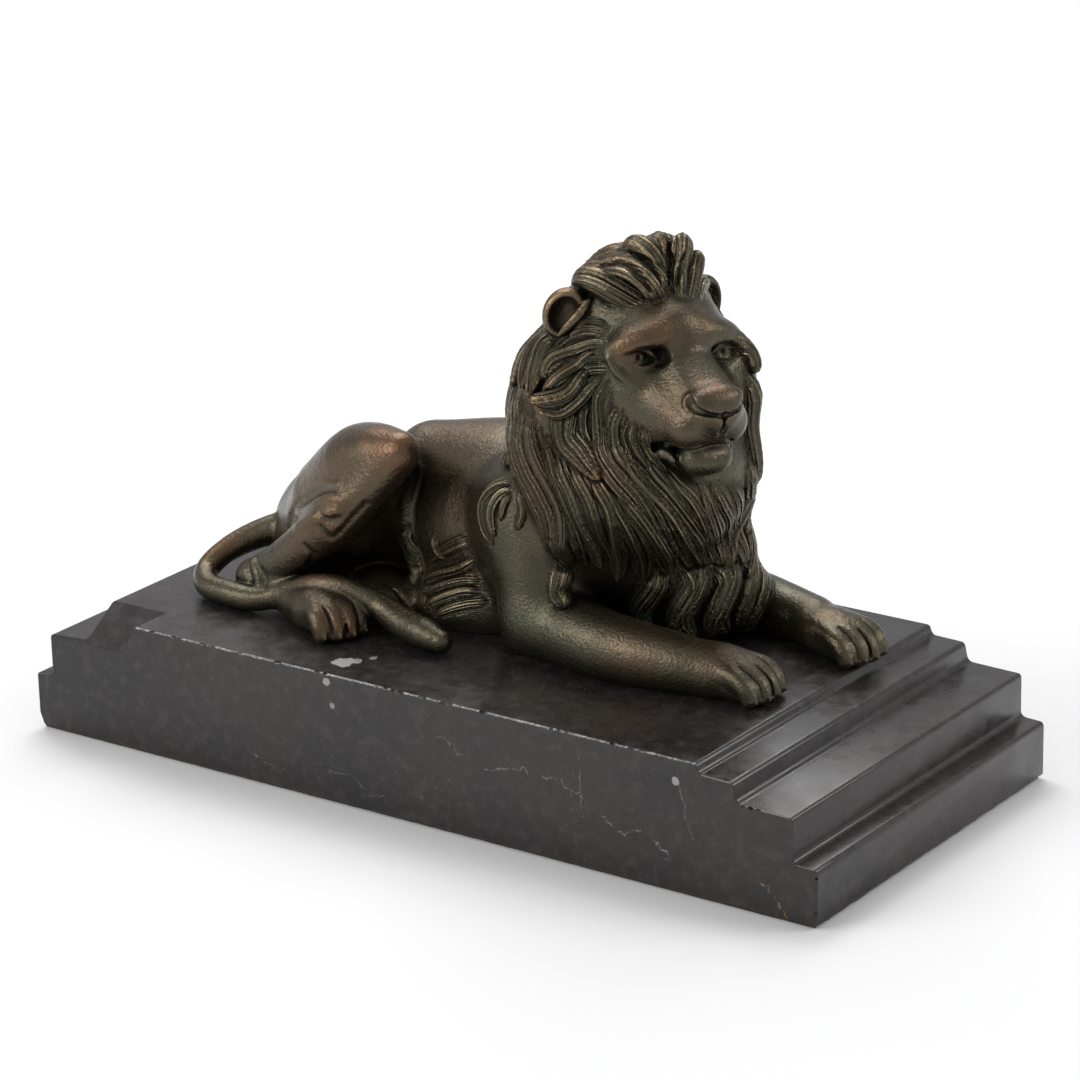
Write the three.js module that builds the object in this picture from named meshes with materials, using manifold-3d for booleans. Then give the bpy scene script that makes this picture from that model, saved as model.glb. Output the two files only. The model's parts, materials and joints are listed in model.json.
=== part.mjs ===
// A reclining bronze lion on a stepped black marble base with a felt pad under it.
// Millimetres, +Z up. The origin is the middle of the underside; the lion looks along +X.

import * as THREE from 'three';
import { mergeVertices } from 'three/addons/utils/BufferGeometryUtils.js';
import Module from 'manifold-3d';

const wasm = await Module();
wasm.setup();

// Driving dimensions of the base
const BASE_LENGTH = 300;
const BASE_WIDTH = 136;
const BASE_TOP = 43.7;
const FELT_THICKNESS = 1.2;
const FELT_INSET = 1.0;

// Steps at the front end: how far each edge stands back from the front, and its height
const STEP_ONE = { back: 8.2, height: 19.2 };
const STEP_TWO = { back: 27.5, height: 33.8 };
const STEP_THREE = { back: 40.4, height: 40.3 };
const REAR_STEP_ONE = 6.8;
const REAR_STEP_TWO = 21.5;
const EDGE_ROUND = 0.9;
const SIDE_BEVEL = 0.6;
const STEP_SLANT = 1.2;

// The sloping cut at the rear corner of the top, on the lion's right side
const CUT_FRONT_X = -106;
const CUT_DEPTH = 15.5;
const CUT_LOW = 33.2;
const CUT_END_SLANT = 7;

// The lion's mesh: grid spacing of the sculpted field, and triangles kept
const CELL = 1.7;
const LION_TRIANGLES = 8800;
const FIELD_LOW = [-120, -54, -3.4];
const FIELD_HIGH = [124, 74, 147];
const FAR = 1e3;
const JUST_INSIDE = -0.02;

// How edges are folded when the mesh is thinned: how far a folded point may move, as a share of the edge,
// how flat a corner may be, what an edge's length costs, how far a face may turn, and its least area
const FREE_MOVE = 2.5;
const FLAT_LIMIT = 1e-4;
const LENGTH_COST = 1e-5;
const TURN_LIMIT = 0.25;
const LEAST_AREA = 1e-3;
const TINY = 1e-9;

// Materials
const bronze = new THREE.MeshStandardMaterial({ color: 0x3b3529, roughness: 0.42, metalness: 0.9 });
const marble = new THREE.MeshStandardMaterial({ color: 0x2e2b2a, roughness: 0.3, metalness: 0 });
const felt = new THREE.MeshStandardMaterial({ color: 0x16130f, roughness: 1, metalness: 0 });

// Small vector helpers on plain arrays
const add = (a, b) => [a[0] + b[0], a[1] + b[1], a[2] + b[2]];
const sub = (a, b) => [a[0] - b[0], a[1] - b[1], a[2] - b[2]];
const scale = (a, s) => [a[0] * s, a[1] * s, a[2] * s];
const dot = (a, b) => a[0] * b[0] + a[1] * b[1] + a[2] * b[2];
const cross = (a, b) => [
  a[1] * b[2] - a[2] * b[1],
  a[2] * b[0] - a[0] * b[2],
  a[0] * b[1] - a[1] * b[0],
];
const length = (a) => Math.hypot(a[0], a[1], a[2]);
const unit = (a) => scale(a, 1 / (length(a) || 1));
const clamp = (v, lo, hi) => Math.min(hi, Math.max(lo, v));
const mix = (a, b, t) => a + (b - a) * t;

// A rigid frame: where a group of masses sits in the lion, and how it is turned (degrees)
function frameAt(origin, yaw = 0, pitch = 0, roll = 0) {
  const turn = new THREE.Euler(
    THREE.MathUtils.degToRad(roll), THREE.MathUtils.degToRad(-pitch), THREE.MathUtils.degToRad(yaw), 'ZYX');
  const m = new THREE.Matrix4().makeRotationFromEuler(turn).elements;
  const axes = [[m[0], m[1], m[2]], [m[4], m[5], m[6]], [m[8], m[9], m[10]]];
  return {
    out: (p) => add(origin, add(add(scale(axes[0], p[0]), scale(axes[1], p[1])), scale(axes[2], p[2]))),
    turn: (v) => add(add(scale(axes[0], v[0]), scale(axes[1], v[1])), scale(axes[2], v[2])),
    within: (p) => {
      const d = sub(p, origin);
      return [dot(d, axes[0]), dot(d, axes[1]), dot(d, axes[2])];
    },
  };
}

const BODY = frameAt([0, 0, 0]);

// An ellipsoid, turned by yaw, pitch and roll within its frame
function ellipsoid(frame, centre, radii, yaw = 0, pitch = 0, roll = 0) {
  const own = frameAt([0, 0, 0], yaw, pitch, roll);
  const middle = frame.out(centre);
  const reach = Math.max(...radii);
  return {
    lo: sub(middle, [reach, reach, reach]),
    hi: add(middle, [reach, reach, reach]),
    distance: (p) => {
      const q = own.within(sub(frame.within(p), centre));
      const a = Math.hypot(q[0] / radii[0], q[1] / radii[1], q[2] / radii[2]);
      const b = Math.hypot(q[0] / radii[0] ** 2, q[1] / radii[1] ** 2, q[2] / radii[2] ** 2);
      return b < TINY ? -Math.min(...radii) : (a * (a - 1)) / b;
    },
  };
}

// A smooth curve through stations, each [x, y, z, first radius, ...], cut into short spans
function curveStations(stations, spans) {
  const places = stations.map((s) => new THREE.Vector3(s[0], s[1], s[2]));
  const curve = new THREE.CatmullRomCurve3(places, false, 'centripetal');
  const made = [];
  for (let i = 0; i <= spans; i += 1) {
    const t = i / spans;
    const at = curve.getPoint(t);
    const where = t * (stations.length - 1);
    const k = Math.min(Math.floor(where), stations.length - 2);
    const share = where - k;
    const rest = stations[k].slice(3).map((v, j) => mix(v, stations[k + 1][3 + j], share));
    made.push([at.x, at.y, at.z, ...rest]);
  }
  return made;
}

// A round limb along a curve; stations are [x, y, z, radius]
function limb(frame, stations, spans = 10) {
  const made = curveStations(stations, spans).map((s) => [...frame.out(s), s[3]]);
  const reach = Math.max(...made.map((s) => s[3]));
  return {
    lo: [0, 1, 2].map((k) => Math.min(...made.map((s) => s[k])) - reach),
    hi: [0, 1, 2].map((k) => Math.max(...made.map((s) => s[k])) + reach),
    distance: (p) => {
      let best = Infinity;
      for (let i = 0; i + 1 < made.length; i += 1) {
        const a = made[i];
        const b = made[i + 1];
        const along = [b[0] - a[0], b[1] - a[1], b[2] - a[2]];
        const from = [p[0] - a[0], p[1] - a[1], p[2] - a[2]];
        const t = clamp(dot(from, along) / (dot(along, along) || 1), 0, 1);
        const gap = Math.hypot(from[0] - t * along[0], from[1] - t * along[1], from[2] - t * along[2]);
        best = Math.min(best, gap - mix(a[3], b[3], t));
      }
      return best;
    },
  };
}

// A flat lock of hair through stations, each { at, out, width, thick }: out is the way its flat side faces
function lock(stations) {
  const faces = stations.map((s, i) => {
    const before = stations[Math.max(i - 1, 0)].at;
    const after = stations[Math.min(i + 1, stations.length - 1)].at;
    const along = unit(sub(after, before));
    const face = unit(sub(s.out, scale(along, dot(s.out, along))));
    return { along, face, side: cross(along, face) };
  });
  const reach = Math.max(...stations.map((s) => s.width));
  return {
    lo: [0, 1, 2].map((k) => Math.min(...stations.map((s) => s.at[k])) - reach),
    hi: [0, 1, 2].map((k) => Math.max(...stations.map((s) => s.at[k])) + reach),
    distance: (p) => {
      let best = FAR;
      for (let i = 0; i + 1 < stations.length; i += 1) {
        const a = stations[i];
        const b = stations[i + 1];
        const after = dot(sub(p, a.at), faces[i].along);
        const before = dot(sub(b.at, p), faces[i + 1].along);
        const t = clamp(after / Math.max(after + before, TINY), 0, 1);
        const share = after < 0 ? 0 : before < 0 ? 1 : t;
        const beyond = Math.max(-after, -before, 0);
        const off = sub(p, [0, 1, 2].map((k) => mix(a.at[k], b.at[k], share)));
        const across = mix(dot(off, faces[i].side), dot(off, faces[i + 1].side), share);
        const up = mix(dot(off, faces[i].face), dot(off, faces[i + 1].face), share);
        const width = mix(a.width, b.width, share);
        const thick = mix(a.thick, b.thick, share);
        const u = Math.hypot(across, beyond) / width;
        const v = up / thick;
        const size = Math.hypot(u, v);
        const slope = Math.hypot(u / width, v / thick);
        best = Math.min(best, slope < TINY ? -thick : (size * (size - 1)) / slope);
      }
      return best;
    },
  };
}

// A sculpting field on a regular grid: masses are blended on, hollows are blended off
class Clay {
  constructor(lo, hi, cell) {
    this.lo = lo;
    this.cell = cell;
    this.count = [0, 1, 2].map((k) => Math.ceil((hi[k] - lo[k]) / cell) + 1);
    this.values = new Float32Array(this.count[0] * this.count[1] * this.count[2]).fill(FAR);
  }

  each(shape, soft, apply) {
    const pad = soft + 2.5 * this.cell;
    const gridPlace = (v, k) => (v - this.lo[k]) / this.cell;
    const from = shape.lo.map((v, k) => Math.max(0, Math.floor(gridPlace(v - pad, k))));
    const to = shape.hi.map((v, k) => Math.min(this.count[k] - 1, Math.ceil(gridPlace(v + pad, k))));
    const p = [0, 0, 0];
    for (let k = from[2]; k <= to[2]; k += 1) {
      p[2] = this.lo[2] + k * this.cell;
      for (let j = from[1]; j <= to[1]; j += 1) {
        p[1] = this.lo[1] + j * this.cell;
        let at = (k * this.count[1] + j) * this.count[0] + from[0];
        for (let i = from[0]; i <= to[0]; i += 1, at += 1) {
          p[0] = this.lo[0] + i * this.cell;
          this.values[at] = apply(this.values[at], shape.distance(p));
        }
      }
    }
  }

  add(shape, soft = 3) {
    this.each(shape, soft, (a, b) => {
      const h = Math.max(soft - Math.abs(a - b), 0) / soft;
      return Math.min(a, b) - (h * h * soft) / 4;
    });
  }

  cut(shape, soft = 1.5) {
    this.each(shape, soft, (a, b) => {
      const h = Math.max(soft - Math.abs(a + b), 0) / soft;
      return Math.max(a, -b) + (h * h * soft) / 4;
    });
  }

  // The field's value between its grid points
  at(p) {
    const [nx, ny] = this.count;
    const g = p.map((v, k) => clamp((v - this.lo[k]) / this.cell, 0, this.count[k] - 1.001));
    const [i, j, k] = g.map(Math.floor);
    const [u, v, w] = [g[0] - i, g[1] - j, g[2] - k];
    const row = (dj, dk) => {
      const at = ((k + dk) * ny + j + dj) * nx + i;
      return mix(this.values[at], this.values[at + 1], u);
    };
    return mix(mix(row(0, 0), row(1, 0), v), mix(row(0, 1), row(1, 1), v), w);
  }

  // The way out of the surface near a point
  outward(p) {
    const reach = 2;
    return unit([0, 1, 2].map((k) => {
      const step = [0, 0, 0];
      step[k] = reach;
      return this.at(add(p, step)) - this.at(sub(p, step));
    }));
  }

  // The nearest place that lies a given height over the surface
  settle(p, height = 0) {
    const rounds = 6;
    let q = p;
    for (let i = 0; i < rounds; i += 1) {
      q = sub(q, scale(this.outward(q), this.at(q) - height));
    }
    return q;
  }

  // Evens out the creases between masses
  smooth(rounds) {
    const strides = [1, this.count[0], this.count[0] * this.count[1]];
    for (let round = 0; round < rounds; round += 1) {
      strides.forEach((stride, axis) => {
        const before = this.values.slice();
        for (let at = stride; at + stride < before.length; at += 1) {
          const place = Math.floor(at / stride) % this.count[axis];
          if (place > 0 && place < this.count[axis] - 1) {
            this.values[at] = 0.5 * before[at] + 0.25 * (before[at - stride] + before[at + stride]);
          }
        }
      });
    }
  }

  copy() {
    const twin = Object.create(Clay.prototype);
    return Object.assign(twin, this, { values: this.values.slice() });
  }

  // Nothing reaches below z = 0, where the lion stands on the marble
  flatUnderside() {
    const layer = this.count[0] * this.count[1];
    for (let at = 0; at < this.values.length; at += 1) {
      const z = this.lo[2] + Math.floor(at / layer) * this.cell;
      this.values[at] = Math.max(this.values[at], -z);
    }
  }
}

// Fills the diagonal contacts that would leave the surface pinched at an edge or a corner
function settleDiagonals(clay) {
  const [nx, ny, nz] = clay.count;
  const v = clay.values;
  const stepOf = [1, nx, nx * ny];
  const mostRounds = 12;
  const inside = (at) => v[at] < 0;
  const fill = (at) => {
    v[at] = JUST_INSIDE;
    return true;
  };

  // Two filled corners of a square face with two empty ones between them
  const settleFace = (at, one, other) => {
    const p = at + one;
    const q = at + other;
    const r = p + other;
    const diagonal = inside(at) === inside(r) && inside(p) === inside(q) && inside(at) !== inside(p);
    if (!diagonal) return false;
    const [a, b] = inside(at) ? [p, q] : [at, r];
    return fill(v[a] < v[b] ? a : b);
  };

  // Two filled corners of a cube that face each other right across it
  const settleCube = (at) => {
    const [x, y, z] = stepOf;
    const corners = [0, x, y, z, x + y, x + z, y + z, x + y + z].map((step) => at + step);
    const filled = corners.filter(inside);
    if (filled.length !== 2 || filled[0] + filled[1] !== 2 * at + x + y + z) return false;
    return fill(filled[0] === at ? at + x : at);
  };

  for (let round = 0, changed = true; changed && round < mostRounds; round += 1) {
    changed = false;
    for (let k = 0; k + 1 < nz; k += 1) {
      for (let j = 0; j + 1 < ny; j += 1) {
        for (let i = 0; i + 1 < nx; i += 1) {
          const at = (k * ny + j) * nx + i;
          const faces = [[0, 1], [1, 2], [0, 2]].map(([a, b]) => settleFace(at, stepOf[a], stepOf[b]));
          changed = settleCube(at) || faces.includes(true) || changed;
        }
      }
    }
  }
}

// The field's surface as a net: one point for each cell that it passes through
function surfaceNet(clay) {
  settleDiagonals(clay);
  const [nx, ny, nz] = clay.count;
  const v = clay.values;
  const layer = nx * ny;
  const index = new Int32Array(v.length).fill(-1);
  const points = [];
  const corner = [0, 1, nx, nx + 1, layer, layer + 1, layer + nx, layer + nx + 1];
  const offset = corner.map((_, c) => [c & 1, (c >> 1) & 1, c >> 2]);
  const edges = [1, 2, 4].flatMap((step) => [0, 1, 2, 3, 4, 5, 6, 7]
    .filter((c) => !(c & step))
    .map((c) => [c, c + step]));
  for (let k = 0; k + 1 < nz; k += 1) {
    for (let j = 0; j + 1 < ny; j += 1) {
      for (let i = 0; i + 1 < nx; i += 1) {
        const at = (k * ny + j) * nx + i;
        let count = 0;
        const sum = [0, 0, 0];
        for (const [a, b] of edges) {
          const va = v[at + corner[a]];
          const vb = v[at + corner[b]];
          if (va < 0 !== vb < 0) {
            const t = va / (va - vb);
            for (let c = 0; c < 3; c += 1) sum[c] += mix(offset[a][c], offset[b][c], t);
            count += 1;
          }
        }
        if (count) {
          index[at] = points.length / 3;
          points.push(...[i, j, k].map((n, c) => clay.lo[c] + (n + sum[c] / count) * clay.cell));
        }
      }
    }
  }
  const faces = [];
  const quad = (a, b, c, d, flip) => {
    if (flip) faces.push(a, c, b, a, d, c);
    else faces.push(a, b, c, a, c, d);
  };
  for (let k = 1; k + 1 < nz; k += 1) {
    for (let j = 1; j + 1 < ny; j += 1) {
      for (let i = 1; i + 1 < nx; i += 1) {
        const at = (k * ny + j) * nx + i;
        const here = v[at] < 0;
        const net = (back) => index[at - back];
        if (here !== v[at + 1] < 0) quad(net(0), net(nx), net(nx + layer), net(layer), !here);
        if (here !== v[at + nx] < 0) quad(net(0), net(layer), net(layer + 1), net(1), !here);
        if (here !== v[at + layer] < 0) quad(net(0), net(1), net(1 + nx), net(nx), !here);
      }
    }
  }
  return { points: Float64Array.from(points), faces: Uint32Array.from(faces) };
}

// Thins a closed mesh by folding the edges that change its form least (quadric errors)
function simplify(mesh, wanted) {
  const count = mesh.points.length / 3;
  const at = Float64Array.from(mesh.points);
  const corners = Int32Array.from(mesh.faces);
  const faceCount = corners.length / 3;
  const alive = new Uint8Array(faceCount).fill(1);
  const around = Array.from({ length: count }, () => []);
  const quadric = Array.from({ length: count }, () => new Float64Array(10));
  const point = (v) => [at[3 * v], at[3 * v + 1], at[3 * v + 2]];
  const normalOf = (a, b, c) => cross(sub(b, a), sub(c, a));
  for (let f = 0; f < faceCount; f += 1) {
    const [a, b, c] = [0, 1, 2].map((k) => corners[3 * f + k]);
    const raw = normalOf(point(a), point(b), point(c));
    const area = length(raw) || TINY;
    const n = scale(raw, 1 / area);
    const plane = [...n, -dot(n, point(a))];
    for (const v of [a, b, c]) {
      around[v].push(f);
      let slot = 0;
      for (let i = 0; i < 4; i += 1) {
        for (let j = i; j < 4; j += 1, slot += 1) {
          quadric[v][slot] += area * plane[i] * plane[j];
        }
      }
    }
  }
  const error = (q, [x, y, z]) => q[0] * x * x + q[4] * y * y + q[7] * z * z + q[9]
    + 2 * (q[1] * x * y + q[2] * x * z + q[3] * x + q[5] * y * z + q[6] * y + q[8] * z);
  const bestPoint = (q, a, b) => {
    const middle = scale(add(a, b), 0.5);
    const choices = [middle, a, b];
    const cof = [q[4] * q[7] - q[5] * q[5], q[2] * q[5] - q[1] * q[7], q[1] * q[5] - q[2] * q[4]];
    const det = q[0] * cof[0] + q[1] * cof[1] + q[2] * cof[2];
    const size = (q[0] + q[4] + q[7]) ** 3;
    if (Math.abs(det) > FLAT_LIMIT * size) {
      const c11 = q[0] * q[7] - q[2] * q[2];
      const c12 = q[1] * q[2] - q[0] * q[5];
      const c22 = q[0] * q[4] - q[1] * q[1];
      const r = [-q[3], -q[6], -q[8]];
      const free = [
        (cof[0] * r[0] + cof[1] * r[1] + cof[2] * r[2]) / det,
        (cof[1] * r[0] + c11 * r[1] + c12 * r[2]) / det,
        (cof[2] * r[0] + c12 * r[1] + c22 * r[2]) / det,
      ];
      if (length(sub(free, middle)) < FREE_MOVE * length(sub(a, b))) return free;
    }
    return choices.reduce((x, y) => (error(q, y) < error(q, x) ? y : x));
  };
  const stamp = new Int32Array(count);
  const heap = [];
  const less = (a, b) => heap[a].cost < heap[b].cost;
  const swap = (a, b) => {
    [heap[a], heap[b]] = [heap[b], heap[a]];
  };
  const push = (item) => {
    heap.push(item);
    for (let i = heap.length - 1; i > 0;) {
      const up = (i - 1) >> 1;
      if (!less(i, up)) break;
      swap(i, up);
      i = up;
    }
  };
  const pop = () => {
    const top = heap[0];
    const last = heap.pop();
    if (heap.length) {
      heap[0] = last;
      for (let i = 0; ;) {
        let low = i;
        for (const child of [2 * i + 1, 2 * i + 2]) {
          if (child < heap.length && less(child, low)) low = child;
        }
        if (low === i) break;
        swap(i, low);
        i = low;
      }
    }
    return top;
  };
  const neighbours = (v) => {
    const seen = new Set();
    for (const f of around[v]) {
      for (let k = 0; k < 3; k += 1) seen.add(corners[3 * f + k]);
    }
    seen.delete(v);
    return seen;
  };
  const offer = (a, b) => {
    const q = quadric[a].map((value, i) => value + quadric[b][i]);
    const target = bestPoint(q, point(a), point(b));
    const span = length(sub(point(a), point(b)));
    const cost = error(q, target) + LENGTH_COST * span * span;
    push({ cost, a, b, target, q, mark: stamp[a] + stamp[b] });
  };
  for (let v = 0; v < count; v += 1) {
    for (const n of neighbours(v)) {
      if (n > v) offer(v, n);
    }
  }
  const turnsOver = (v, other, target) => around[v].some((f) => {
    const ids = [corners[3 * f], corners[3 * f + 1], corners[3 * f + 2]];
    if (ids.includes(other)) return false;
    const before = normalOf(...ids.map(point));
    const after = normalOf(...ids.map((id) => (id === v ? target : point(id))));
    const turned = dot(before, after) < TURN_LIMIT * length(before) * length(after);
    return turned || length(after) < LEAST_AREA;
  });
  let left = faceCount;
  while (left > wanted && heap.length) {
    const { a, b, target, q, mark } = pop();
    if (!around[a].length || !around[b].length || mark !== stamp[a] + stamp[b]) continue;
    const near = neighbours(a);
    if (!near.has(b)) continue;
    const shared = [...neighbours(b)].filter((n) => near.has(n));
    if (shared.length !== 2 || turnsOver(a, b, target) || turnsOver(b, a, target)) continue;
    target.forEach((value, k) => {
      at[3 * a + k] = value;
    });
    quadric[a] = q;
    for (const f of around[b]) {
      const ids = [0, 1, 2].map((k) => corners[3 * f + k]);
      if (ids.includes(a)) {
        alive[f] = 0;
        left -= 1;
        for (const id of ids) {
          around[id] = around[id].filter((g) => g !== f);
        }
      }
    }
    for (const f of around[b]) {
      for (let k = 0; k < 3; k += 1) {
        if (corners[3 * f + k] === b) corners[3 * f + k] = a;
      }
      around[a].push(f);
    }
    around[b] = [];
    stamp[a] += 1;
    for (const n of neighbours(a)) stamp[n] += 1;
    for (const n of neighbours(a)) {
      offer(a, n);
      for (const m of neighbours(n)) {
        if (m !== a) offer(n, m);
      }
    }
  }
  const name = new Map();
  const points = [];
  const faces = [];
  for (let f = 0; f < faceCount; f += 1) {
    if (!alive[f]) continue;
    for (let k = 0; k < 3; k += 1) {
      const v = corners[3 * f + k];
      if (!name.has(v)) {
        name.set(v, points.length / 3);
        points.push(...point(v));
      }
      faces.push(name.get(v));
    }
  }
  return { points: Float64Array.from(points), faces: Uint32Array.from(faces) };
}

// The lion's masses, from the top of the marble up; NEAR is the lion's right, which its face turns to
const HEAD = frameAt([46.4, 3, 100], -26.6, 2.8, -1.4);
const NECK = frameAt([47, 3, 101], -26.4);
const NEAR = -1;
const FAR_SIDE = 1;

function trunk(clay) {
  clay.add(ellipsoid(BODY, [-76, 14, 14], [30, 27, 24]), 6);
  clay.add(limb(BODY, [[-78, 14, 14, 23], [-50, 17, 24, 22], [-12, 14, 30, 28]], 24), 10);
  clay.add(ellipsoid(BODY, [-12, 14, 33], [38, 25, 28]), 8);
  clay.add(ellipsoid(BODY, [-6, 8, 12], [33, 20, 22]), 8);
  clay.add(ellipsoid(BODY, [-22, 2, 3], [24, 20, 13]), 10);
  clay.add(limb(BODY, [[-44, 12, 44, 13.5], [-24, 13, 44, 14], [-4, 13, 43.5, 14.5]], 12), 8);
  clay.add(ellipsoid(BODY, [12, -4, 36], [20, 17, 27]), 8);
  clay.add(ellipsoid(BODY, [14, 34, 34], [22, 15, 26]), 8);
}

function foreLegs(clay) {
  clay.add(limb(BODY, [[6, -6, 42, 17], [14, -12, 24, 14], [16, -15, 12, 13]], 16), 8);
  clay.add(limb(BODY, [[16, -15, 10, 12], [44, -21, 9, 11], [70, -20, 8, 9.5], [82, -18, 7, 8.5]], 20), 5);
  clay.add(limb(BODY, [[10, 34, 34, 18], [30, 40, 14, 14]], 12), 8);
  clay.add(limb(BODY, [[30, 42, 9, 12], [60, 41, 7, 10], [84, 36, 6.5, 8.5]], 20), 5);
}

function hindLegs(clay) {
  const thigh = [
    [-80, 0, 14, 17], [-66, -6, 31, 19], [-53, -13, 47, 15], [-43, -18, 54.5, 10.5], [-32, -21.5, 60, 5.6],
  ];
  const shank = [[-32.5, -22, 57.5, 6], [-54, -26, 35, 8.6], [-76, -28, 16, 7], [-89, -28, 9, 5]];
  clay.add(limb(BODY, thigh, 24), 5);
  clay.add(limb(BODY, shank, 20), 3);
  clay.add(limb(BODY, [[-90, -28, 8, 5], [-72, -32, 6, 5.6], [-58, -37, 5.5, 7]], 12), 3);
  clay.add(limb(BODY, [[-70, -6, 6, 6], [-58, -8.5, 6, 6], [-48, -9.5, 5, 6]], 12), 3);
  clay.add(limb(BODY, [[-80, 30, 14, 18], [-56, 38, 14, 17], [-34, 40, 12, 12]], 20), 8);
  clay.add(limb(BODY, [[-40, 48, 7, 8], [-64, 46, 7, 7]], 8), 4);
}

// A paw that stands on the marble with its toes fanned out in front
function paw(clay, x, y, yaw, size) {
  const frame = frameAt([x, y, 0], yaw);
  const sized = (numbers) => numbers.map((v) => v * size);
  clay.add(ellipsoid(frame, sized([-3, 0, 7]), sized([12, 9.5, 7.5])), 4);
  for (const k of [-1.5, -0.5, 0.5, 1.5]) {
    const spread = 5 * k;
    const tip = 13.5 - 1.6 * Math.abs(k);
    const toe = [[-2, 0.8 * spread, 8.2, 3.1], [0.55 * tip, spread, 8.4, 3.4], [tip, 1.05 * spread, 4, 3.1]];
    clay.add(limb(frame, toe.map(sized), 8), 1);
  }
}

function paws(clay) {
  paw(clay, 88, -15.5, -4, 1);
  paw(clay, 97, 30, -14, 1);
  paw(clay, -50, -38.5, -24, 0.9);
  paw(clay, -47, -9.5, -8, 0.78);
}

// The tail leaves the rump, lies on the marble round the hock and crosses over the hind foot
function tail(clay) {
  clay.add(limb(BODY, [
    [-88, -2, 19, 6], [-99.5, -10, 16, 4.8], [-107.5, -20, 11, 4], [-109, -28, 6.5, 3.9],
    [-103.5, -34, 4.4, 4.2], [-93, -36.3, 4.3, 4.3], [-83, -36.3, 4.3, 4], [-75, -34, 6, 3.7],
    [-67.5, -33, 10, 3.5], [-58.5, -34.3, 13.5, 3.4], [-50, -33.7, 14.4, 3.4], [-42.8, -32, 12.5, 3.6],
    [-35.5, -30.5, 9, 4.3], [-25.7, -32, 6, 5], [-15.6, -34.1, 5, 5], [-8.5, -35, 4, 3.6],
  ], 75), 1.2);
}

function skull(clay) {
  clay.add(ellipsoid(HEAD, [-6, 0, 2], [26, 24, 21.5]), 4);
  clay.add(ellipsoid(HEAD, [8, 0, 7], [14.5, 17.5, 12]), 5);
  clay.add(limb(HEAD, [[14, 0, 3, 9], [24, 0, -5, 8], [31, 0, -11, 7.4], [39, 0, -13, 6.6]], 16), 4);
  clay.add(ellipsoid(HEAD, [27, 0, -16], [14, 12.5, 10]), 6);
  clay.add(ellipsoid(HEAD, [28.5, 0, -28.4], [10, 7.6, 4.6]), 1.6);
  for (const side of [NEAR, FAR_SIDE]) {
    clay.add(limb(HEAD, [[24, 2.6 * side, -4, 6.6], [39, 2.8 * side, -11.5, 5.6]], 6), 3);
    clay.add(ellipsoid(HEAD, [8, 14.5 * side, -10], [14, 8.5, 15]), 7);
    clay.add(ellipsoid(HEAD, [22, 9.5 * side, -15], [10, 6, 9.5]), 6);
    clay.add(ellipsoid(HEAD, [33.5, 6 * side, -17], [8, 7.2, 7.4]), 2);
  }
}

// The brow's ridge, the socket, the ball and the fold under it; the far eye sits a little lower
function eye(clay, side, height) {
  const curve = (points) => limb(HEAD, points.map(([x, y, z, r]) => [x, side * y, z + height, r]), 12);
  clay.add(curve([
    [14.5, 19, 2.4, 2], [18, 16, 4.6, 3], [19.8, 12, 6.2, 3.8], [20.2, 7.5, 7.6, 3.8], [18, 4, 11, 2.6],
  ]), 5);
  clay.cut(ellipsoid(HEAD, [24, 13 * side, height + 0.2], [5.5, 6.4, 3.2], 0, 0, -6 * side), 2.5);
  clay.add(ellipsoid(HEAD, [15.8, 13.8 * side, height], [5, 5.4, 4.6]), 0.5);
  clay.add(curve([
    [16, 20.5, -2, 0.9], [19, 19, -5, 1.4], [21.6, 15, -7.6, 1.4], [22.8, 11.5, -8.8, 1],
  ]), 1.6);
}

function ear(clay, centre, yaw) {
  const frame = frameAt(HEAD.out(centre), -26.6 + yaw);
  clay.add(ellipsoid(frame, [0, 0, 0], [5, 6.6, 7.8]), 1.5);
  clay.cut(ellipsoid(frame, [4.6, 0, 0.2], [6.2, 5.1, 6.2]), 1.2);
}

function muzzle(clay) {
  clay.add(ellipsoid(HEAD, [40.2, 0, -8.4], [4.6, 8.2, 3.9]), 1.2);
  for (const side of [NEAR, FAR_SIDE]) {
    clay.add(ellipsoid(HEAD, [38.2, 7 * side, -9.2], [3.6, 2.8, 3]), 1);
    clay.cut(ellipsoid(HEAD, [42.4, 5.4 * side, -10.2], [1.6, 2, 1.3]), 0.8);
    clay.cut(limb(HEAD, [
      [42, 0, -22.4, 0.9], [39, 5 * side, -22.8, 1], [34, 9.6 * side, -22.6, 1], [28, 11.6 * side, -23.6, 1],
      [23, 12 * side, -25.4, 1.5]], 16), 1.2);
  }
}

function head(clay) {
  eye(clay, NEAR, 1.5);
  eye(clay, FAR_SIDE, -0.4);
  muzzle(clay);
  ear(clay, [-5, -25, 11.5], -26);
  ear(clay, [-7, 23.5, 9.5], 26);
}

function maneMass(clay) {
  clay.add(ellipsoid(NECK, [-10, 0, 4], [19, 26, 20]), 6);
  clay.add(ellipsoid(NECK, [-4, 3, 14], [15, 15, 16]), 5);
  clay.add(limb(BODY, [[26, -14, 92, 12], [22, -17, 66, 12], [30, -19, 44, 7]], 12), 8);
  clay.add(ellipsoid(NECK, [-13, -1, -24], [25, 36, 32]), 8);
  clay.add(ellipsoid(NECK, [4, -1, -38], [25, 30, 27]), 8);
  clay.add(ellipsoid(BODY, [34, 14, 46], [29, 31, 34]), 8);
  clay.add(ellipsoid(BODY, [44, 20, 22], [24, 22, 26]), 8);
}

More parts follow.
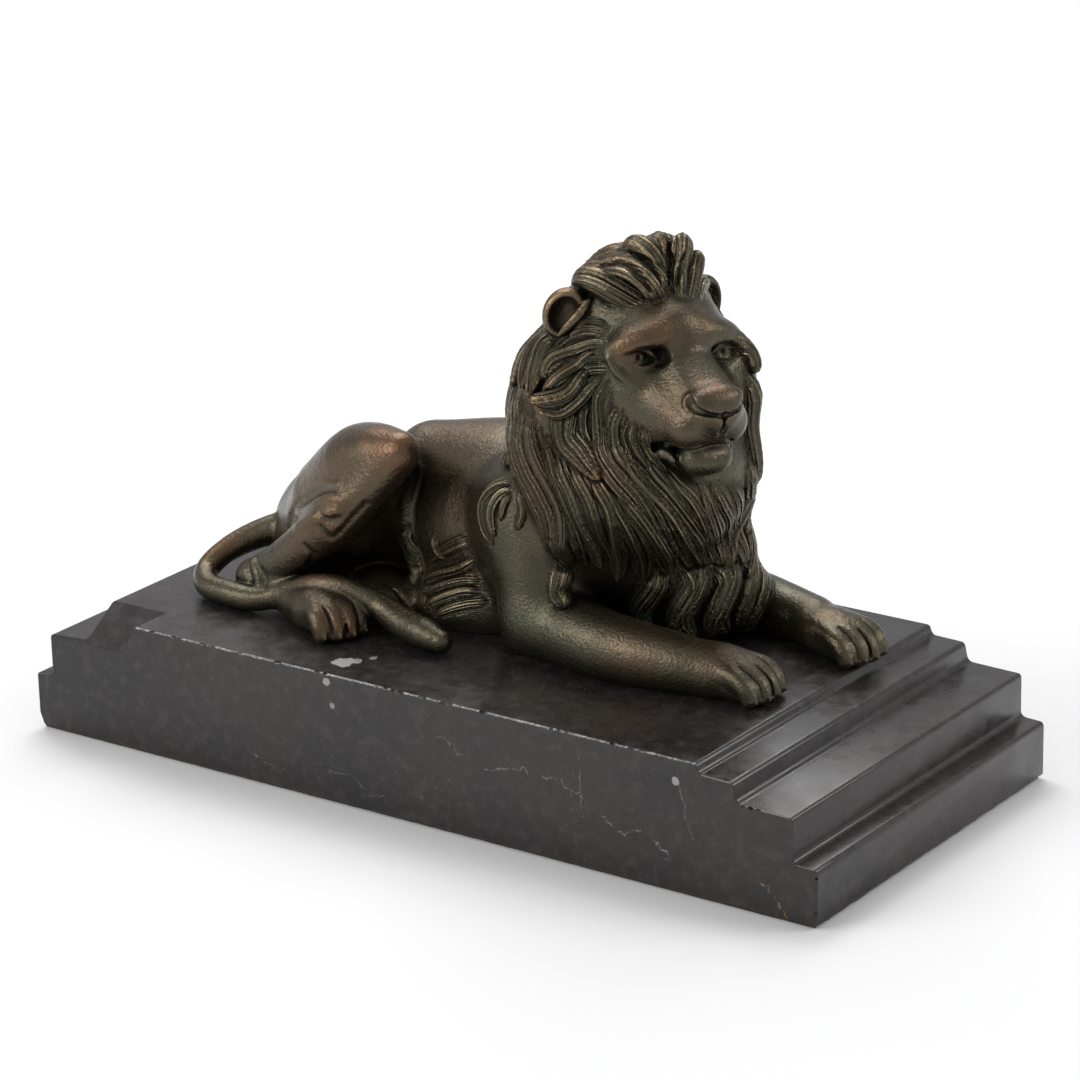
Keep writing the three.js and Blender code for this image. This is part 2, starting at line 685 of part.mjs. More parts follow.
// Which way the mane is combed at a point: up and back over the crown, down the sides and the chest
function combing(p) {
  const q = NECK.within(p);
  const side = Math.sign(q[1]) || 1;
  const rise = q[2] + 2;
  const reach = Math.hypot(q[1], rise) || 1;
  const crown = clamp((rise / reach - 0.15) / 0.7, 0, 1);
  const low = clamp((-20 - q[2]) / 25, 0, 1);
  const sides = [mix(-0.75, 0.25, low), mix(0.45, -0.3, low) * side, -1];
  const top = [-1, (q[1] / reach) * 0.9, (rise / reach) * 0.35];
  return NECK.turn(unit([0, 1, 2].map((k) => mix(sides[k], top[k], crown))));
}

// A number from 0 to 1 that looks random but is the same each time
const chance = (n) => {
  const x = Math.sin(n * 12.9898 + 4.1) * 43758.5453;
  return x - Math.floor(x);
};

// One stretch of a lock: narrow at the root, fullest past the middle, lifted towards the tip;
// size is [half width, thickness, lift, bluntness of the tip], and t runs from 0 at the root to 1 at the tip
function lockStation(base, p, out, [width, thick, lift, blunt], t) {
  const rootShare = clamp(t / 0.3, 0, 1);
  const root = rootShare * rootShare * (3 - 2 * rootShare);
  const tip = Math.sqrt(1 - clamp((t - 0.55) / 0.45, 0, 1) ** 2 * (1 - blunt ** 2));
  return {
    at: base.settle(p, -0.8 + 0.4 * root + lift * t * t),
    out,
    width: width * (0.45 + 0.55 * root) * tip,
    thick: thick * (0.25 + 0.75 * root) * (0.35 + 0.65 * tip),
  };
}

const TIP_BLUNTNESS = 0.14;

// Grows a lock over the clay from its root, the way the hair is combed
function growLock(base, root, row, seed) {
  const spans = 10;
  const bend = (chance(seed) - 0.5) * 1.5;
  const stations = [];
  let p = base.settle(root);
  for (let i = 0; i <= spans; i += 1) {
    const out = base.outward(p);
    stations.push(lockStation(base, p, out, [row.width, row.thick, row.lift, TIP_BLUNTNESS], i / spans));
    const way = combing(p);
    const flat = unit(sub(way, scale(out, dot(way, out))));
    const turn = scale(cross(out, flat), bend * Math.sin((5 * i) / spans));
    p = base.settle(add(p, scale(unit(add(flat, turn)), row.length / spans)));
  }
  return lock(stations);
}

// Lays a lock from root to tip: bow bends it one way, sway bends it one way and then the other
function layLock(base, { root, tip, bow, sway, width, lift }) {
  const spans = 12;
  const thick = 2.8;
  const along = unit(sub(tip, root));
  const middle = base.settle(scale(add(root, tip), 0.5));
  const side = unit(cross(base.outward(middle), along));
  const stations = [];
  for (let i = 0; i <= spans; i += 1) {
    const t = i / spans;
    const off = bow * Math.sin(Math.PI * t) + sway * Math.sin(2 * Math.PI * t);
    const p = base.settle(add(add(root, scale(sub(tip, root), t)), scale(side, off)));
    stations.push(lockStation(base, p, base.outward(p), [width, thick, lift, TIP_BLUNTNESS], t));
  }
  return lock(stations);
}

// Drapes a lock over the clay along a path of places
function drapeLock(base, { size, path }) {
  const spans = 14;
  return lock(curveStations(path, spans).map((place, i) => {
    const p = base.settle(place);
    return lockStation(base, p, base.outward(p), size, i / spans);
  }));
}

// A lock of the crest, which stands free of the clay; size is [half width, thickness, curl]
function standLock({ size: [width, thick, curl], path }) {
  const spans = 12;
  return lock(curveStations(path, spans).map((place, i) => {
    const t = i / spans;
    const belly = Math.sin(Math.PI * (0.2 + 0.8 * t) ** 0.9);
    const crown = [-6, 0, 4 - curl * 20 * t];
    return {
      at: HEAD.out(place),
      out: HEAD.turn(unit(sub(place, crown))),
      width: width * (0.35 + 0.65 * Math.sqrt(belly)),
      thick: thick * (0.4 + 0.6 * belly),
    };
  }));
}

// Rows of locks round the head: angles in degrees from the face's axis, and round it over the crown
const MANE_ROWS = [
  { back: 150, from: -10, to: 190, count: 6, length: 34, width: 6.5, thick: 2.6, lift: 1.5 },
  { back: 122, from: 0, to: 240, count: 13, length: 44, width: 6, thick: 2.6, lift: 2 },
  { back: 100, from: -60, to: 75, count: 9, length: 40, width: 5.2, thick: 2.6, lift: 2 },
  { back: 78, from: -75, to: 45, count: 9, length: 42, width: 4.6, thick: 2.4, lift: 2 },
];

// The locks that show best on the lion's right: [half width, thickness, lift, bluntness] and a path
const DRAPED_LOCKS = [
  { size: [6.0, 3.0, 1.5, 0.5], path: [
    [21, -26, 91], [20, -29, 74], [26, -28, 58], [29, -27, 51], [30, -21, 34]] },
  { size: [4.6, 2.4, 0.8, 0.4], path: [
    [25, -28, 83], [31, -28, 65], [34, -26, 57], [36, -25, 50], [35, -18, 34]] },
  { size: [4.2, 2.8, 2.0, 0.5], path: [
    [29, -28, 73], [34, -27, 65], [39, -27, 58], [41, -20, 44], [40, -16, 35]] },
  { size: [3.6, 2.6, 1.6, 0.5], path: [
    [33, -27, 70], [41, -28, 65], [46, -28, 58], [45, -18, 41], [43, -14, 34]] },
  { size: [2.6, 2.6, 2.6, 0.5], path: [
    [43, -28, 68], [49, -28, 63], [52, -26, 57], [48, -16, 40], [44, -12, 30]] },
  { size: [5.2, 2.4, 1.4, 0.4], path: [
    [49, -28, 66], [54, -26, 58], [56, -22, 50], [54, -14, 40], [50, -8, 30]] },
  { size: [4.6, 3.0, 1.8, 0.4], path: [
    [50, -28, 67], [58, -25, 59], [61, -20, 51], [60, -11, 41], [57, -4, 31]] },
  { size: [5.4, 3.2, 3.2, 0.2], path: [
    [38, -24, 89], [35, -26, 82], [36, -26, 76], [42, -27, 72], [49, -28, 67]] },
  { size: [4.2, 2.4, 1.2, 0.3], path: [
    [46, -23, 89], [48, -26, 75], [54, -27, 68], [60, -24, 60], [59, -3, 34]] },
  { size: [4.0, 2.4, 1.2, 0.3], path: [
    [50, -24, 88], [52, -25, 74], [58, -25, 68], [64, -21, 60], [61, 1, 32]] },
  { size: [3.6, 2.4, 1.4, 0.3], path: [
    [54, -23, 83], [57, -25, 71], [62, -23, 64], [66, -18, 57], [63, 4, 32]] },
  { size: [4.2, 2.4, 1.2, 0.3], path: [
    [59, -22, 75], [63, -22, 68], [67, -19, 62], [67, 0, 41], [64, 6, 32]] },
  { size: [4.2, 2.4, 1.2, 0.3], path: [
    [65, -20, 72], [68, -17, 65], [71, -13, 59], [66, 5, 37], [65, 8, 32]] },
  { size: [4.2, 2.6, 1.5, 0.3], path: [
    [71, -10, 67], [73, -9, 58], [72, -4, 50], [67, 9, 36], [66, 11, 31]] },
  { size: [5.4, 2.6, 1.5, 0.3], path: [
    [74, -6, 64], [74, -4, 57], [72, 4, 48], [68, 14, 35], [67, 14, 30]] },
  { size: [5.4, 2.6, 1.5, 0.3], path: [
    [76, 1, 63], [75, 5, 54], [71, 13, 44], [68, 20, 34], [68, 21, 29]] },
  { size: [3.2, 3.4, 3.6, 0.6], path: [
    [42, -21, 101], [38, -22, 94], [35, -25, 90], [30, -27, 88], [27, -28, 88]] },
  { size: [3.2, 2.8, 2.4, 0.5], path: [
    [46, -22, 98], [41, -22, 92], [37, -24, 88], [33, -26, 85], [29, -28, 85]] },
  { size: [3.4, 2.4, 1.6, 0.2], path: [
    [51, -22, 107], [43, -19, 106], [37, -19, 104], [28, -24, 99], [27, -26, 94]] },
  { size: [2.6, 2.4, 2.0, 0.3], path: [
    [49, -22, 106], [41, -20, 102], [36, -22, 98], [31, -25, 94], [28, -27, 90]] },
  { size: [3.4, 2.4, 1.5, 0.2], path: [
    [21, -14, 105], [20, -19, 102], [20, -24, 97], [20, -26, 90]] },
  { size: [3.4, 2.4, 1.5, 0.2], path: [
    [28, -19, 106], [24, -20, 103], [24, -25, 97], [24, -27, 88]] },
  { size: [3.6, 2.4, 1.5, 0.2], path: [
    [20, -12, 110], [16, -14, 104], [14, -18, 99], [14, -21, 88]] },
  { size: [2.8, 2.6, 0.8, 0.3], path: [
    [14, -21, 56], [5, -19.5, 54], [-1.5, -21, 48], [-0.5, -22.5, 41], [5, -24, 37]] },
  { size: [2.4, 2.2, 0.6, 0.3], path: [
    [14, -21.5, 53.5], [8, -21, 52], [4.5, -22.5, 47], [6.5, -24, 41]] },
  { size: [2.2, 2.0, 0.6, 0.3], path: [
    [12, -21, 54.5], [13.5, -22.5, 49], [13, -23.5, 43]] },
  { size: [3.4, 3.4, 2.5, 0.3], path: [
    [30, -18, 33], [28, -20, 27], [29, -22, 22], [32, -23, 18]] },
];

// The standing locks of the crest, on paths in the head's own frame: [half width, thickness, curl]
const CREST_LOCKS = [
  { size: [6.5, 4.5, 0.3], path: [
    [10, -7, 16.5], [4.5, -11.5, 20], [-1, -15, 22.5], [-6, -17.5, 23], [-10.5, -18.5, 21.5]] },
  { size: [5.5, 4.5, 0.3], path: [
    [12, -2, 16], [12.5, -5.5, 23], [8.5, -8.5, 26.5], [1.5, -11, 27], [-5.5, -13, 25], [-12, -15, 22.5]] },
  { size: [4.5, 4.5, 1.0], path: [
    [11.5, -1, 16.5], [9.5, -2, 26], [7.5, -4, 30.5], [3, -5.5, 32.5], [-0.5, -6.5, 31], [-1.5, -7, 28.5]] },
  { size: [5.0, 5.0, 0.4], path: [
    [12, 0.5, 16.5], [9, 1, 26.5], [7.5, 1, 31.5], [6.5, 0.5, 34]] },
  { size: [4.0, 4.0, 0.8], path: [
    [11.5, 2.5, 18], [12, 4, 28], [12, 5, 32], [10.5, 6, 33.5], [8.5, 7, 32]] },
  { size: [3.6, 3.4, 0.2], path: [
    [13, 2, 17], [12.5, 3, 24.5], [11.5, 4, 29]] },
  { size: [4.4, 4.0, 0.3], path: [
    [12.5, 5, 17], [11, 8, 24], [11.5, 10.5, 28.5]] },
  { size: [4.2, 3.6, 0.3], path: [
    [12, 7, 15.5], [7, 12, 18.5], [4, 17, 18.5]] },
  { size: [6.0, 5.0, 0.3], path: [
    [4, -3, 20], [-3, -5, 26.5], [-9, -8, 26], [-18, -11, 21.5]] },
  { size: [6.0, 5.0, 0.3], path: [
    [4, 4, 21], [-1, 6, 28], [-8, 8, 28], [-17, 8, 23]] },
  { size: [5.5, 4.5, 0.3], path: [
    [4, 9, 18], [-2, 13, 23], [-9, 15, 23], [-17, 15, 18]] },
];

// Locks that hang past the far cheek
const FAR_LOCKS = [
  { root: [71, 11, 102], tip: [76, 16, 93], bow: 3, sway: 0, width: 3.6, lift: 1.6 },
  { root: [75, 9, 95], tip: [72, 21, 69], bow: 0, sway: 0, width: 4, lift: 1.6 },
  { root: [71, 18, 72], tip: [68, 22, 23], bow: 6, sway: -8, width: 4.2, lift: 1.6 },
];

// Shaggy locks low on the chest, hanging to the marble between the forelegs
const CHEST_LOCKS = { count: 11, from: -80, to: 85, radius: 24, top: 33, bottom: 5, width: 4.3 };

function chestLock(base, i) {
  const { count, from, to, radius, top, bottom, width } = CHEST_LOCKS;
  const round = THREE.MathUtils.degToRad(mix(from, to, (i + 0.5) / count));
  const at = (z) => [44 + radius * Math.cos(round), 20 + radius * Math.sin(round), z];
  return layLock(base, { root: at(top), tip: at(bottom), bow: i % 2 ? 4 : -3, sway: 2.5, width, lift: 2.5 });
}

function rowLock(base, row, i, seed) {
  const round = THREE.MathUtils.degToRad(mix(row.from, row.to, (i + 0.5) / row.count));
  const back = THREE.MathUtils.degToRad(row.back);
  const way = [Math.cos(back), Math.sin(back) * Math.cos(round), Math.sin(back) * Math.sin(round)];
  return growLock(base, NECK.out(sub(scale(way, 40), [4, 0, 0])), row, seed);
}

function maneLocks(clay) {
  const base = clay.copy();
  const soft = 0.6;
  for (let i = 0; i < CHEST_LOCKS.count; i += 1) clay.add(chestLock(base, i), soft);
  MANE_ROWS.forEach((row, r) => {
    for (let i = 0; i < row.count; i += 1) clay.add(rowLock(base, row, i, 20 * r + i), soft);
  });
  for (const row of FAR_LOCKS) clay.add(layLock(base, row), soft);
  for (const row of DRAPED_LOCKS) clay.add(drapeLock(base, row), soft);
  for (const row of CREST_LOCKS) clay.add(standLock(row), soft);
}

function sculptLion() {
  const clay = new Clay(FIELD_LOW, FIELD_HIGH, CELL);
  trunk(clay);
  foreLegs(clay);
  maneMass(clay);
  hindLegs(clay);
  clay.smooth(1);
  paws(clay);
  tail(clay);
  skull(clay);
  maneLocks(clay);
  head(clay);
  clay.flatUnderside();
  return surfaceNet(clay);
}

function lionGeometry() {
  const { points, faces } = simplify(sculptLion(), LION_TRIANGLES);
  for (let i = 2; i < points.length; i += 3) points[i] = Math.max(points[i], 0);
  const geometry = new THREE.BufferGeometry();
  geometry.setAttribute('position', new THREE.BufferAttribute(Float32Array.from(points), 3));
  geometry.setIndex(new THREE.BufferAttribute(faces, 1));
  return geometry;
}

// A closed three.js mesh as a solid that can be cut, and back again
function solidOf(geometry) {
  const bare = new THREE.BufferGeometry();
  bare.setAttribute('position', geometry.getAttribute('position'));
  if (geometry.index) bare.setIndex(geometry.index);
  const merged = mergeVertices(bare, 1e-4);
  return new wasm.Manifold(new wasm.Mesh({
    numProp: 3,
    vertProperties: Float32Array.from(merged.getAttribute('position').array),
    triVerts: Uint32Array.from(merged.index.array),
  }));
}

function geometryOf(solid) {
  const mesh = solid.getMesh();
  const geometry = new THREE.BufferGeometry();
  geometry.setAttribute('position', new THREE.BufferAttribute(Float32Array.from(mesh.vertProperties), 3));
  geometry.setIndex(new THREE.BufferAttribute(Uint32Array.from(mesh.triVerts), 1));
  return geometry;
}

// An outline with each corner rounded to the same radius
function roundedOutline(corners, radius) {
  const shape = new THREE.Shape();
  corners.forEach((corner, i) => {
    const here = new THREE.Vector2(...corner);
    const before = new THREE.Vector2(...corners[(i + corners.length - 1) % corners.length]);
    const after = new THREE.Vector2(...corners[(i + 1) % corners.length]);
    const start = here.clone().add(before.sub(here).setLength(radius));
    const end = here.clone().add(after.sub(here).setLength(radius));
    if (i === 0) shape.moveTo(start.x, start.y);
    else shape.lineTo(start.x, start.y);
    shape.quadraticCurveTo(here.x, here.y, end.x, end.y);
  });
  shape.closePath();
  return shape;
}

// The marble's side outline: three steps in front, one low step and one high one behind
function marbleGeometry() {
  const front = BASE_LENGTH / 2;
  const outline = roundedOutline([
    [-front, FELT_THICKNESS],
    [front, FELT_THICKNESS],
    [front, STEP_ONE.height],
    [front - STEP_ONE.back, STEP_ONE.height],
    [front - STEP_ONE.back, STEP_TWO.height],
    [front - STEP_TWO.back, STEP_TWO.height],
    [front - STEP_TWO.back - STEP_SLANT, STEP_THREE.height],
    [front - STEP_THREE.back, STEP_THREE.height],
    [front - STEP_THREE.back - STEP_SLANT, BASE_TOP],
    [-front + REAR_STEP_TWO, BASE_TOP],
    [-front + REAR_STEP_TWO, STEP_TWO.height],
    [-front + REAR_STEP_ONE, STEP_TWO.height],
    [-front + REAR_STEP_ONE, STEP_ONE.height],
    [-front, STEP_ONE.height],
  ], EDGE_ROUND);
  const slab = new THREE.ExtrudeGeometry(outline, {
    depth: BASE_WIDTH - 2 * SIDE_BEVEL,
    curveSegments: 3,
    bevelEnabled: true,
    bevelThickness: SIDE_BEVEL,
    bevelSize: SIDE_BEVEL,
    bevelOffset: -SIDE_BEVEL,
    bevelSegments: 1,
  });
  slab.rotateX(Math.PI / 2);
  slab.translate(0, BASE_WIDTH / 2 - SIDE_BEVEL, 0);
  return geometryOf(solidOf(slab).subtract(solidOf(cornerCut())));
}

// The block that takes the slope off the rear corner, with a slanted end wall
function cornerCut() {
  const side = -BASE_WIDTH / 2;
  const reach = 30;
  const rise = (BASE_TOP - CUT_LOW) / CUT_DEPTH;
  const slope = new THREE.Shape();
  slope.moveTo(side - reach, CUT_LOW - rise * reach);
  slope.lineTo(side + CUT_DEPTH + reach, BASE_TOP + rise * reach);
  slope.lineTo(side - reach, BASE_TOP + rise * reach);
  slope.closePath();
  const block = new THREE.ExtrudeGeometry(slope, { depth: BASE_LENGTH, bevelEnabled: false });
  const lean = CUT_END_SLANT / (BASE_TOP - CUT_LOW);
  // The extrusion's own x, y, z become Y, Z and X, leaning at the end
  block.applyMatrix4(new THREE.Matrix4().set(
    0, lean, 1, CUT_FRONT_X - lean * BASE_TOP - BASE_LENGTH,
    1, 0, 0, 0,
    0, 1, 0, 0,
    0, 0, 0, 1,
  ));
  return block;
}

function feltGeometry() {
  const [padLength, padWidth] = [BASE_LENGTH, BASE_WIDTH].map((side) => side - 2 * FELT_INSET);
  const pad = new THREE.BoxGeometry(padLength, padWidth, FELT_THICKNESS);
  pad.translate(0, 0, FELT_THICKNESS / 2);
  return pad;
}

function named(name, geometry, material, height = 0) {
  const mesh = new THREE.Mesh(geometry, material);
  mesh.name = name;
  mesh.position.z = height;
  return mesh;
}

const statuette = new THREE.Group();
statuette.add(named('lion', lionGeometry(), bronze, BASE_TOP));
statuette.add(named('marble_base', marbleGeometry(), marble));
statuette.add(named('felt_pad', feltGeometry(), felt));

export default statuette;
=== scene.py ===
# %% [markdown]
# # A bronze lion on a stepped block of black marble
#
# The real thing is a table bronze: a lion cast hollow in bronze and patinated dark, set on a polished
# block of black marble with felt under it. The frame brings plain solids for all three, and each is
# replaced here by a finer one at the same place and size. The lion is sculpted from the same masses
# as its plain solid.

# %% Load the frame
import json

import bmesh
import bpy
import numpy as np
from mathutils import Matrix, Vector

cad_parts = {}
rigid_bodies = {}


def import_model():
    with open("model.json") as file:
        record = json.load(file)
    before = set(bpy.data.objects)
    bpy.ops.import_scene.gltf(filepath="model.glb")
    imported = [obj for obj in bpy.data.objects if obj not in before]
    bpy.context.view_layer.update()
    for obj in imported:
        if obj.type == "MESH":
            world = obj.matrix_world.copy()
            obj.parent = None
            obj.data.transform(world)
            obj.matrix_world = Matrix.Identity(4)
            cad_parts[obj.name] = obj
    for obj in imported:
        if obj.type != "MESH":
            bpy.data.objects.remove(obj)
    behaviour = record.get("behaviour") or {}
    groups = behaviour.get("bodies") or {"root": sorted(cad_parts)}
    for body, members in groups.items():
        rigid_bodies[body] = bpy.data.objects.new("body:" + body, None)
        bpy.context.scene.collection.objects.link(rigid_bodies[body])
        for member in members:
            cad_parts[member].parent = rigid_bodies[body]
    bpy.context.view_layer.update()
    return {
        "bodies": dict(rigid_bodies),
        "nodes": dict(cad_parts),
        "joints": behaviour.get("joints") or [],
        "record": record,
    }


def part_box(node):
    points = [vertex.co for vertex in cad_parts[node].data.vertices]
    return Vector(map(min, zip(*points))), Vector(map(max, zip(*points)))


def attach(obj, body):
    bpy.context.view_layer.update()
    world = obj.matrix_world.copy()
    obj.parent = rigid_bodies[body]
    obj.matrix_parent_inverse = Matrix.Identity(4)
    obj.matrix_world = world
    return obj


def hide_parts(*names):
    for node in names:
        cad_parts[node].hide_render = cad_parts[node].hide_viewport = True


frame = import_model()
MM = 0.001

# %% [markdown]
# # The camera
#
# The view was found by fitting a camera to the edges of the marble block, whose sides are known. A
# lens of 143 mm from well over a metre away keeps the verticals almost parallel, as in the photo.

# %% Place the camera
CAMERA_AT = (0.7499, -1.0408, 0.5272)
CAMERA_RIGHT = (0.8178, 0.5751, -0.0225)
CAMERA_UP = (-0.1749, 0.2856, 0.9423)
LENS_MM = 143.09
SENSOR_MM = 36.0


def place_camera():
    data = bpy.data.cameras.new("photo camera")
    data.lens = LENS_MM
    data.sensor_fit = "HORIZONTAL"
    data.sensor_width = SENSOR_MM
    data.clip_end = 20
    camera = bpy.data.objects.new("photo camera", data)
    right, up = Vector(CAMERA_RIGHT), Vector(CAMERA_UP)
    turn = Matrix((right, up, right.cross(up))).transposed().to_4x4()
    camera.matrix_world = Matrix.Translation(CAMERA_AT) @ turn
    bpy.context.scene.collection.objects.link(camera)
    bpy.context.scene.camera = camera
    return camera


camera = place_camera()
print("camera", [round(v, 3) for v in camera.location])

# %% [markdown]
# # Clay on a grid
#
# A sculptor builds up masses and presses them together. The same can be done with a distance field:
# a grid of numbers that say how far each point is from the surface, below zero inside. Polygon
# modelling by hand would need thousands of placed points, while here a paw or a lock of hair is one
# line.
#
# First come directions, and frames: a head is turned against its body, and it is easier to carve in
# its own frame than in the lion's.

# %% Directions and turned frames
def unit(v):
    return np.asarray(v, float) / (np.linalg.norm(v) + 1e-12)


class Frame:
    """Where a group of masses sits in the lion and how it is turned, in mm and degrees."""

    def __init__(self, origin, yaw=0.0, pitch=0.0, roll=0.0):
        y, p, r = np.radians([yaw, -pitch, roll])
        turn_z = np.array([[np.cos(y), -np.sin(y), 0], [np.sin(y), np.cos(y), 0], [0, 0, 1]])
        turn_y = np.array([[np.cos(p), 0, np.sin(p)], [0, 1, 0], [-np.sin(p), 0, np.cos(p)]])
        turn_x = np.array([[1, 0, 0], [0, np.cos(r), -np.sin(r)], [0, np.sin(r), np.cos(r)]])
        self.origin = np.array(origin, float)
        self.turn = turn_z @ turn_y @ turn_x

    def out(self, point):
        return self.origin + self.turn @ np.asarray(point, float)

    def within(self, point):
        return self.turn.T @ (np.asarray(point, float) - self.origin)


BODY = Frame((0, 0, 0))
print("a frame yawed by 90 degrees sends x to", Frame((0, 0, 0), 90).out((1, 0, 0)).round(3))

# %% [markdown]
# The clay itself. A mass is blended on with a soft minimum, so that it grows out of what is there
# like pressed clay, and a hollow is blended off the same way. The clay can also be asked where its
# surface is and which way is out, so that a lock of hair can be laid on it.

# %% The clay
FAR = 1e3


class Clay:
    """A distance field on a grid whose lines may stand closer in one place than in another."""

    def __init__(self, axes):
        self.axes = [np.asarray(a, np.float32) for a in axes]
        self.values = np.full([len(a) for a in self.axes], FAR, np.float32)

    def cut(self, lo, hi):
        """The part of the grid that covers a box."""
        spans = [np.searchsorted(a, (low, high)) for a, low, high in zip(self.axes, lo, hi)]
        return tuple(slice(int(s[0]), int(s[1])) for s in spans)

    def spots(self, cut):
        """The grid's x, y and z over that part."""
        x, y, z = [a[c] for a, c in zip(self.axes, cut)]
        return x[:, None, None], y[None, :, None], z[None, None, :]

    def distances(self, shape, pad):
        """The shape's distances in its own window, worked out piece by piece."""
        window = self.cut(np.asarray(shape.lo) - pad, np.asarray(shape.hi) + pad)
        found = np.full([c.stop - c.start for c in window], FAR, np.float32)
        for lo, hi, distance in shape.pieces:
            cut = self.cut(np.asarray(lo) - pad, np.asarray(hi) + pad)
            if any(c.stop <= c.start for c in cut):
                continue
            inner = tuple(slice(c.start - w.start, c.stop - w.start) for c, w in zip(cut, window))
            np.minimum(found[inner], distance(*self.spots(cut)), out=found[inner])
        return window, found

    def add(self, shape, soft=3.0):
        """Presses a shape on; soft is how far in mm the seam is smoothed."""
        window, b = self.distances(shape, soft + 1.5)
        a = self.values[window]
        h = np.maximum(soft - np.abs(a - b), 0) / soft
        self.values[window] = np.minimum(a, b) - h * h * (soft / 4)

    def take(self, shape, soft=1.5):
        """Presses a shape in as a hollow."""
        window, b = self.distances(shape, soft + 1.5)
        a = self.values[window]
        h = np.maximum(soft - np.abs(a + b), 0) / soft
        self.values[window] = np.maximum(a, -b) + h * h * (soft / 4)

    def smooth(self, rounds):
        """Softens the small steps between the stretches of a limb."""
        for _ in range(rounds):
            for axis in range(3):
                v = np.moveaxis(self.values, axis, 0)
                v[1:-1] = 0.5 * v[1:-1] + 0.25 * (v[:-2] + v[2:])

    def at(self, points):
        """The field's value at points, read between the grid's lines."""
        points = np.atleast_2d(points)
        lows, shares = [], []
        for axis, p in zip(self.axes, points.T):
            p = np.clip(p, axis[0], axis[-2])
            low = np.clip(np.searchsorted(axis, p, side="right") - 1, 0, len(axis) - 2)
            lows.append(low)
            shares.append((p - axis[low]) / (axis[low + 1] - axis[low]))
        i, j, k = lows
        u, v, w = shares
        total = 0.0
        for a, wa in ((0, 1 - u), (1, u)):
            for b, wb in ((0, 1 - v), (1, v)):
                for c, wc in ((0, 1 - w), (1, w)):
                    total = total + self.values[i + a, j + b, k + c] * wa * wb * wc
        return total

    def outward(self, point, reach=2.0):
        """Which way is out of the clay."""
        steps = np.concatenate([np.eye(3), -np.eye(3)]) * reach
        v = self.at(np.asarray(point) + steps)
        return unit(v[:3] - v[3:])

    def settle(self, point, height=0.0):
        """Moves a point to the surface, or to a height over it."""
        q = np.asarray(point, float)
        for _ in range(6):
            q = q - self.outward(q) * (self.at(q)[0] - height)
        return q


print("clay starts empty, with", FAR, "mm to the nearest surface")

# %% [markdown]
# The plainest mass is an ellipsoid. A shape keeps the box it fits in, so that only that part of the
# grid is worked on.

# %% Ellipsoids
class Shape:
    """A thing to add or take: its box, and pieces that are each (low corner, high corner, distance)."""

    def __init__(self, pieces):
        self.pieces = pieces
        self.lo = np.min([p[0] for p in pieces], axis=0)
        self.hi = np.max([p[1] for p in pieces], axis=0)


def stretched(u, v, w, ru, rv, rw):
    """Near enough the distance to an ellipsoid, from a point's places along its three radii."""
    size = np.sqrt((u / ru) ** 2 + (v / rv) ** 2 + (w / rw) ** 2)
    slope = np.sqrt((u / ru**2) ** 2 + (v / rv**2) ** 2 + (w / rw**2) ** 2)
    return size * (size - 1) / np.maximum(slope, 1e-6)


def ellipsoid(frame, centre, radii, yaw=0, pitch=0, roll=0):
    turn = frame.turn @ Frame((0, 0, 0), yaw, pitch, roll).turn
    middle = frame.out(centre)
    reach = np.sqrt(((turn * np.asarray(radii, float)) ** 2).sum(axis=1))
    t = turn.astype(np.float32)

    def distance(x, y, z):
        dx, dy, dz = x - np.float32(middle[0]), y - np.float32(middle[1]), z - np.float32(middle[2])
        along = [t[0, k] * dx + t[1, k] * dy + t[2, k] * dz for k in range(3)]
        return stretched(*along, *[np.float32(r) for r in radii])

    return Shape([(middle - reach, middle + reach, distance)])


ball = ellipsoid(BODY, (0, 0, 0), (3, 2, 1))
print("box of a 3, 2, 1 mm ellipsoid:", ball.lo, ball.hi)

# %% [markdown]
# Legs, tail, lips and lids are round in section and run along a curve, thicker in one place than in
# another. A smooth curve through a few stations keeps the list of numbers short.

# %% Limbs along curves
def smooth_path(stations, spans):
    """Points along a centripetal Catmull-Rom curve through the stations, with their other numbers."""
    s = np.asarray(stations, float)
    ends = [2 * s[0] - s[1], *s, 2 * s[-1] - s[-2]]
    made = []
    for i in range(spans + 1):
        where = i / spans * (len(s) - 1)
        k = min(int(where), len(s) - 2)
        p0, p1, p2, p3 = (ends[k + n][:3] for n in range(4))
        d = [max(np.linalg.norm(b - a), 1e-6) ** 0.5 for a, b in ((p0, p1), (p1, p2), (p2, p3))]
        t = where - k
        m1 = ((p1 - p0) / d[0] - (p2 - p0) / (d[0] + d[1]) + (p2 - p1) / d[1]) * d[1]
        m2 = ((p2 - p1) / d[1] - (p3 - p1) / (d[1] + d[2]) + (p3 - p2) / d[2]) * d[1]
        at = (2 * t**3 - 3 * t**2 + 1) * p1 + (t**3 - 2 * t**2 + t) * m1
        at = at + (3 * t**2 - 2 * t**3) * p2 + (t**3 - t**2) * m2
        made.append(np.concatenate([at, s[k][3:] * (1 - t) + s[k + 1][3:] * t]))
    return made


